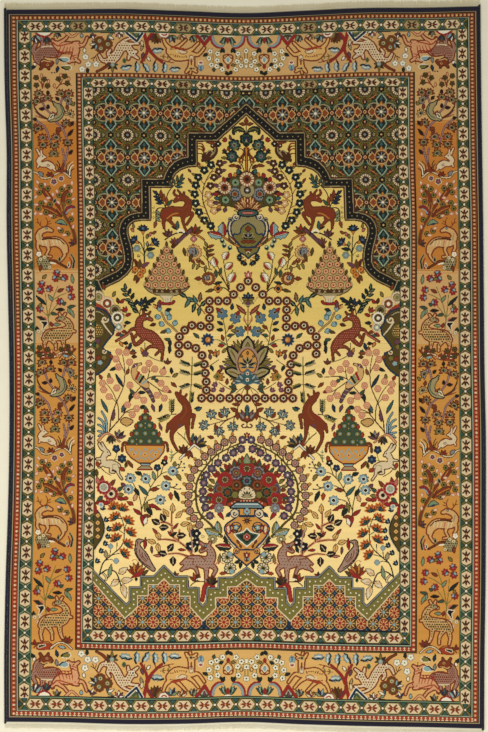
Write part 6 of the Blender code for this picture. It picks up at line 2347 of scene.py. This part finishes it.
def alongEnd(end, out):
    # a line along one end of the rug, this far outside the pile
    first = fringe["inset"] / rug["width"]
    share = np.linspace(first, 1 - first, cord["stations"])
    left = -rug["width"] / 2 - smoothRead(rug["left"], float(end))
    right = rug["width"] / 2 + smoothRead(rug["right"], float(end))
    x = left + (right - left) * share - rug["middle"][0]
    drift = smoothRead(rug["arch"] if end else rug["foot"], share)
    y = (rug["length"] / 2 + drift + out) * (1 if end else -1) - rug["middle"][1]
    return [(float(a), float(b)) for a, b in zip(x, y)]


yarnLook = {
    "sheen": 0.1,
    "flecks": 0.6,  # the share of the tone that changes from fibre to fibre; the rest is soft clouds
    "cloudScale": 14.0,
    "fuzz": 0.5,
    "fuzzHigh": 0.0006,
}


def woolFinish(name, dark, light, roughness, fineness):
    material, tree, shader = newFinish(name, roughness, yarnLook["sheen"])
    where = addNode(tree, "ShaderNodeTexCoord", {}, {}, "Object")
    fleck = noise(tree, where, fineness, 3.0)
    cloud = noise(tree, where, yarnLook["cloudScale"])
    tone = fleck * yarnLook["flecks"] + cloud * (1 - yarnLook["flecks"])
    colour = mixColours(tree, tone, linear(dark), linear(light))
    tree.links.new(colour.socket, shader.inputs["Base Color"])
    fuzz = noise(tree, where, fineness * 2.0, 4.0)
    bump = addNode(tree, "ShaderNodeBump", {}, {
        "Strength": yarnLook["fuzz"], "Distance": yarnLook["fuzzHigh"], "Height": fuzz}, "Normal")
    tree.links.new(bump.socket, shader.inputs["Normal"])
    return material


def makeCords():
    finish = woolFinish("navy overcast wool", *cord["colours"], cord["roughness"], cord["fuzzScale"])
    sizes = {"pitch": cord["pitch"], "yarn": cord["yarn"], "lean": cord["lean"],
             "wide": rug["cordWide"] + cord["spread"] - cord["yarn"], "high": rug["cordHigh"] - cord["yarn"]}
    growth = Growth("woolWraps", sizes, finish)
    give = growth.given
    path = growth.node("GeometryNodeSetCurveNormal", {"mode": "Z_UP"}, {"Curve": give("Geometry")})
    places = growth.node("GeometryNodeResampleCurve", {"mode": "LENGTH"}, {"Curve": path, "Length": give("pitch")})
    ring = growth.node("GeometryNodeCurvePrimitiveCircle", {}, {"Resolution": cord["turnSides"], "Radius": 0.5})
    oval = growth.node("GeometryNodeTransform", {}, {
        "Geometry": ring, "Scale": growth.vector(give("wide"), give("high"), 1.0)})
    yarn = growth.node("GeometryNodeCurvePrimitiveCircle", {}, {
        "Resolution": cord["yarnSides"], "Radius": give("yarn") * 0.5})
    turn = growth.node("GeometryNodeCurveToMesh", {}, {"Curve": oval, "Profile Curve": yarn})
    tangent = growth.node("GeometryNodeInputTangent")
    facing = growth.node("FunctionNodeAxesToRotation", {"primary_axis": "Z", "secondary_axis": "Y"}, {
        "Primary Axis": tangent, "Secondary Axis": (0.0, 0.0, 1.0)})
    leanSeed, sizeSeed = cord["seeds"]
    leaning = growth.node("FunctionNodeEulerToRotation", {}, {0: growth.vector(
        0.0, give("lean") + growth.chance(-cord["sway"], cord["sway"], leanSeed), 0.0)})
    both = growth.node("FunctionNodeRotateRotation", {"rotation_space": "LOCAL"}, {
        "Rotation": facing, "Rotate By": leaning})
    size = growth.chance(cord["least"], 1.0, sizeSeed)
    wraps = growth.node("GeometryNodeInstanceOnPoints", {}, {
        "Points": places, "Instance": turn, "Rotation": both, "Scale": growth.vector(size, size, 1.0)})
    core = growth.node("GeometryNodeTransform", {}, {
        "Geometry": ring, "Scale": growth.vector(give("high"), give("wide") + give("yarn") * cord["core"], 1.0)})
    body = growth.node("GeometryNodeCurveToMesh", {}, {"Curve": path, "Profile Curve": core, "Fill Caps": True})
    growth.close(growth.join(wraps, body))
    for side, word in enumerate(("left", "right")):
        mesh = growth.grow("overcast_" + word, alongSide(side))
        showPiece("overcast_" + word, mesh, finish, "navy_wool", "side_cord_" + word)
        print("overcast", word, "side:", len(mesh.polygons), "faces")


def makeFringes():
    # the head's warp finish carries painted shade in its darker tones
    finishes = [woolFinish("cotton warp " + word, *fringe[word + "Colours"], fringe["roughness"], fringe["fuzzScale"])
                for word in ("foot", "head")]
    kindSeed, swingSeed, sizeSeed = fringe["seeds"]
    sizes = {"tufts": fringe["tufts"], "long": fringe["long"], "thread": fringe["thread"],
             "away": 0.0, "deep": fringe["stripDeep"], "thick": fringe["stripThick"]}
    for end, word in enumerate(("foot", "arch")):
        sizes["away"] = 1.0 if end else -1.0
        finish = finishes[end]
        growth = Growth("cutWarps_" + word, sizes, finish)
        give = growth.given
        variants = []
        for kind in range(fringe["kinds"]):
            threads = []
            for k in range(fringe["threads"]):
                chance = np.random.default_rng(fringe["seed"] + 10 * kind + k)
                lean = chance.uniform(-fringe["bend"], fringe["bend"])
                short, lift = chance.uniform(fringe["shortest"], 1.0), chance.uniform(0.0, 1.0)
                reach = give("long") * give("away")
                place = (k - (fringe["threads"] - 1) / 2) * fringe["apart"]
                start = growth.vector(place, 0.0, 0.0)
                far = growth.vector(place * 0.94 + lean * 0.004, reach * short, lift * -0.0003)
                line = growth.node("GeometryNodeCurvePrimitiveBezierSegment", {"mode": "POSITION"}, {
                    "Resolution": 6, "Start": start, "End": far,
                    "Start Handle": growth.vector(place - lean * 0.005, reach * 0.35, 0.0002),
                    "End Handle": growth.vector(place + lean * 0.008, reach * 0.68, -0.0001)})
                along = growth.node("GeometryNodeSplineParameter")
                taper = growth.node("GeometryNodeSetCurveRadius", {}, {
                    "Curve": line, "Radius": 1.0 - along * fringe["taper"]})
                profile = growth.node("GeometryNodeCurvePrimitiveCircle", {}, {
                    "Resolution": fringe["threadSides"], "Radius": give("thread") * 0.5})
                threads.append(growth.node("GeometryNodeCurveToMesh", {}, {
                    "Curve": taper, "Profile Curve": profile, "Fill Caps": True}))
            variants.append(growth.node("GeometryNodeGeometryToInstance", {}, {0: growth.join(*threads)}))
        # one tuft in the middle of each share of the strip's outer edge
        places = growth.node("GeometryNodeResampleCurve", {"mode": "COUNT"}, {
            "Curve": give("Geometry"), "Count": give("tufts")})
        which = growth.node("FunctionNodeRandomValue", {"data_type": "INT"}, {
            "Min_002": 0, "Max_002": fringe["kinds"] - 1, "Seed": kindSeed}, 2)
        swing = growth.node("FunctionNodeEulerToRotation", {}, {
            0: growth.vector(0.0, 0.0, growth.chance(-fringe["swing"], fringe["swing"], swingSeed))})
        size = growth.chance(fringe["smallest"], 1.0, sizeSeed)
        tufts = growth.node("GeometryNodeInstanceOnPoints", {}, {
            "Points": places, "Instance": growth.join(*variants), "Pick Instance": True, "Instance Index": which,
            "Rotation": swing, "Scale": growth.vector(1.0, size, 1.0)})
        # the woven strip, as rows of twined weft on a flat band
        band = growth.node("GeometryNodeCurvePrimitiveQuadrilateral", {"mode": "RECTANGLE"}, {
            "Width": give("deep"), "Height": give("thick") * 0.7})
        path = growth.node("GeometryNodeSetCurveNormal", {"mode": "Z_UP"}, {"Curve": give("Geometry")})
        moved = growth.node("GeometryNodeSetPosition", {}, {
            "Geometry": path, "Offset": growth.vector(0.0, give("deep") * give("away") * -0.5, 0.0)})
        strip = growth.node("GeometryNodeCurveToMesh", {}, {
            "Curve": moved, "Profile Curve": band, "Fill Caps": True})
        rows = []
        bead = growth.node("GeometryNodeMeshIcoSphere", {}, {"Radius": fringe["bead"], "Subdivisions": 1})
        for k in range(fringe["stitchRows"]):
            row = growth.node("GeometryNodeSetPosition", {}, {"Geometry": path, "Offset": growth.vector(
                0.0, give("deep") * give("away") * (-0.14 - 0.24 * k), give("thick") * 0.18)})
            dots = growth.node("GeometryNodeResampleCurve", {"mode": "LENGTH"}, {
                "Curve": row, "Length": fringe["stitch"]})
            tilt = growth.node("FunctionNodeEulerToRotation", {}, {
                0: (0.0, 0.0, fringe["tilt"] if k % 2 else -fringe["tilt"])})
            rows.append(growth.node("GeometryNodeInstanceOnPoints", {}, {
                "Points": dots, "Instance": bead, "Rotation": tilt, "Scale": fringe["beadShape"]}))
        growth.close(growth.join(tufts, strip, *rows))
        out = fringe["gap"] + fringe["stripDeep"]
        points = [(x, y, fringe["height"]) for x, y in alongEnd(end, out)]
        mesh = growth.grow("fringe_" + word + "_warps", points)
        showPiece("fringe_" + word + "_warps", mesh, finish, "cotton_warp", "fringe_" + word)
        print("fringe at the", word + ":", len(mesh.polygons), "faces")


# camera, light and floor

view = {
    "squareSize": 0.002944,
    "pictureMiddle": (244.0, 366.0),  # where the picture's middle falls on the chart
    "rugMiddle": (246.75, 367.65),
    "height": 6.0,
    "pictureHigh": 732,
    "sensor": 36.0,
    "keyPower": 74.0,
    "keySize": 3.0,
    "keyPlace": (-0.35, -1.5, 3.0),
    "keyTurn": (0.38, -0.1, 0.0),
    "fillStrength": 0.40,
    "floorHalf": 4.0,
    "floorDrop": 0.0005,
    "floorColours": ("f6eed1", "fdf5da"),
    "floorPatches": 30.0,
    "floorRoughness": 0.8,
}


def makeView():
    scene = bpy.context.scene
    scene.view_settings.view_transform = "Standard"
    size = view["squareSize"]
    x = (view["pictureMiddle"][0] - view["rugMiddle"][0]) * size - rug["middle"][0]
    y = (view["rugMiddle"][1] - view["pictureMiddle"][1]) * size - rug["middle"][1]
    camera = bpy.data.cameras.new("overhead_camera")
    camera.sensor_width = view["sensor"]
    camera.lens = view["sensor"] * (view["height"] - rug["thick"]) / (view["pictureHigh"] * size)
    holder = bpy.data.objects.new("overhead_camera", camera)
    holder.location = (x, y, view["height"])
    scene.collection.objects.link(holder)
    scene.camera = holder
    lamp = bpy.data.lights.new("studio_light", "AREA")
    lamp.shape = "RECTANGLE"
    lamp.size, lamp.size_y, lamp.energy = view["keySize"], view["keySize"], view["keyPower"]
    lampHolder = bpy.data.objects.new("studio_light", lamp)
    lampHolder.location = view["keyPlace"]
    lampHolder.rotation_euler = view["keyTurn"]
    scene.collection.objects.link(lampHolder)
    world = bpy.data.worlds.new("studio")
    world.use_nodes = True
    sky = world.node_tree.nodes["Background"]
    sky.inputs["Color"].default_value = (1.0, 1.0, 1.0, 1.0)
    sky.inputs["Strength"].default_value = view["fillStrength"]
    scene.world = world


def makeFloor():
    half, low = view["floorHalf"], -view["floorDrop"]
    mesh = bpy.data.meshes.new("floor")
    mesh.from_pydata([(-half, -half, low), (half, -half, low), (half, half, low), (-half, half, low)], [],
                     [(0, 1, 2, 3)])
    floor = bpy.data.objects.new("floor", mesh)
    bpy.context.scene.collection.objects.link(floor)
    material, tree, shader = newFinish("pale floor", view["floorRoughness"])
    where = addNode(tree, "ShaderNodeTexCoord", {}, {}, "Object")
    patch = noise(tree, where, view["floorPatches"], 4.0)
    colour = mixColours(tree, patch, *map(linear, view["floorColours"]))
    tree.links.new(colour.socket, shader.inputs["Base Color"])
    mesh.materials.append(material)


knots = drawChart()
makeView()
makeFloor()
pilePiece = makePile(knots)
backPiece = makeBack(knots)
makeCords()
makeFringes()
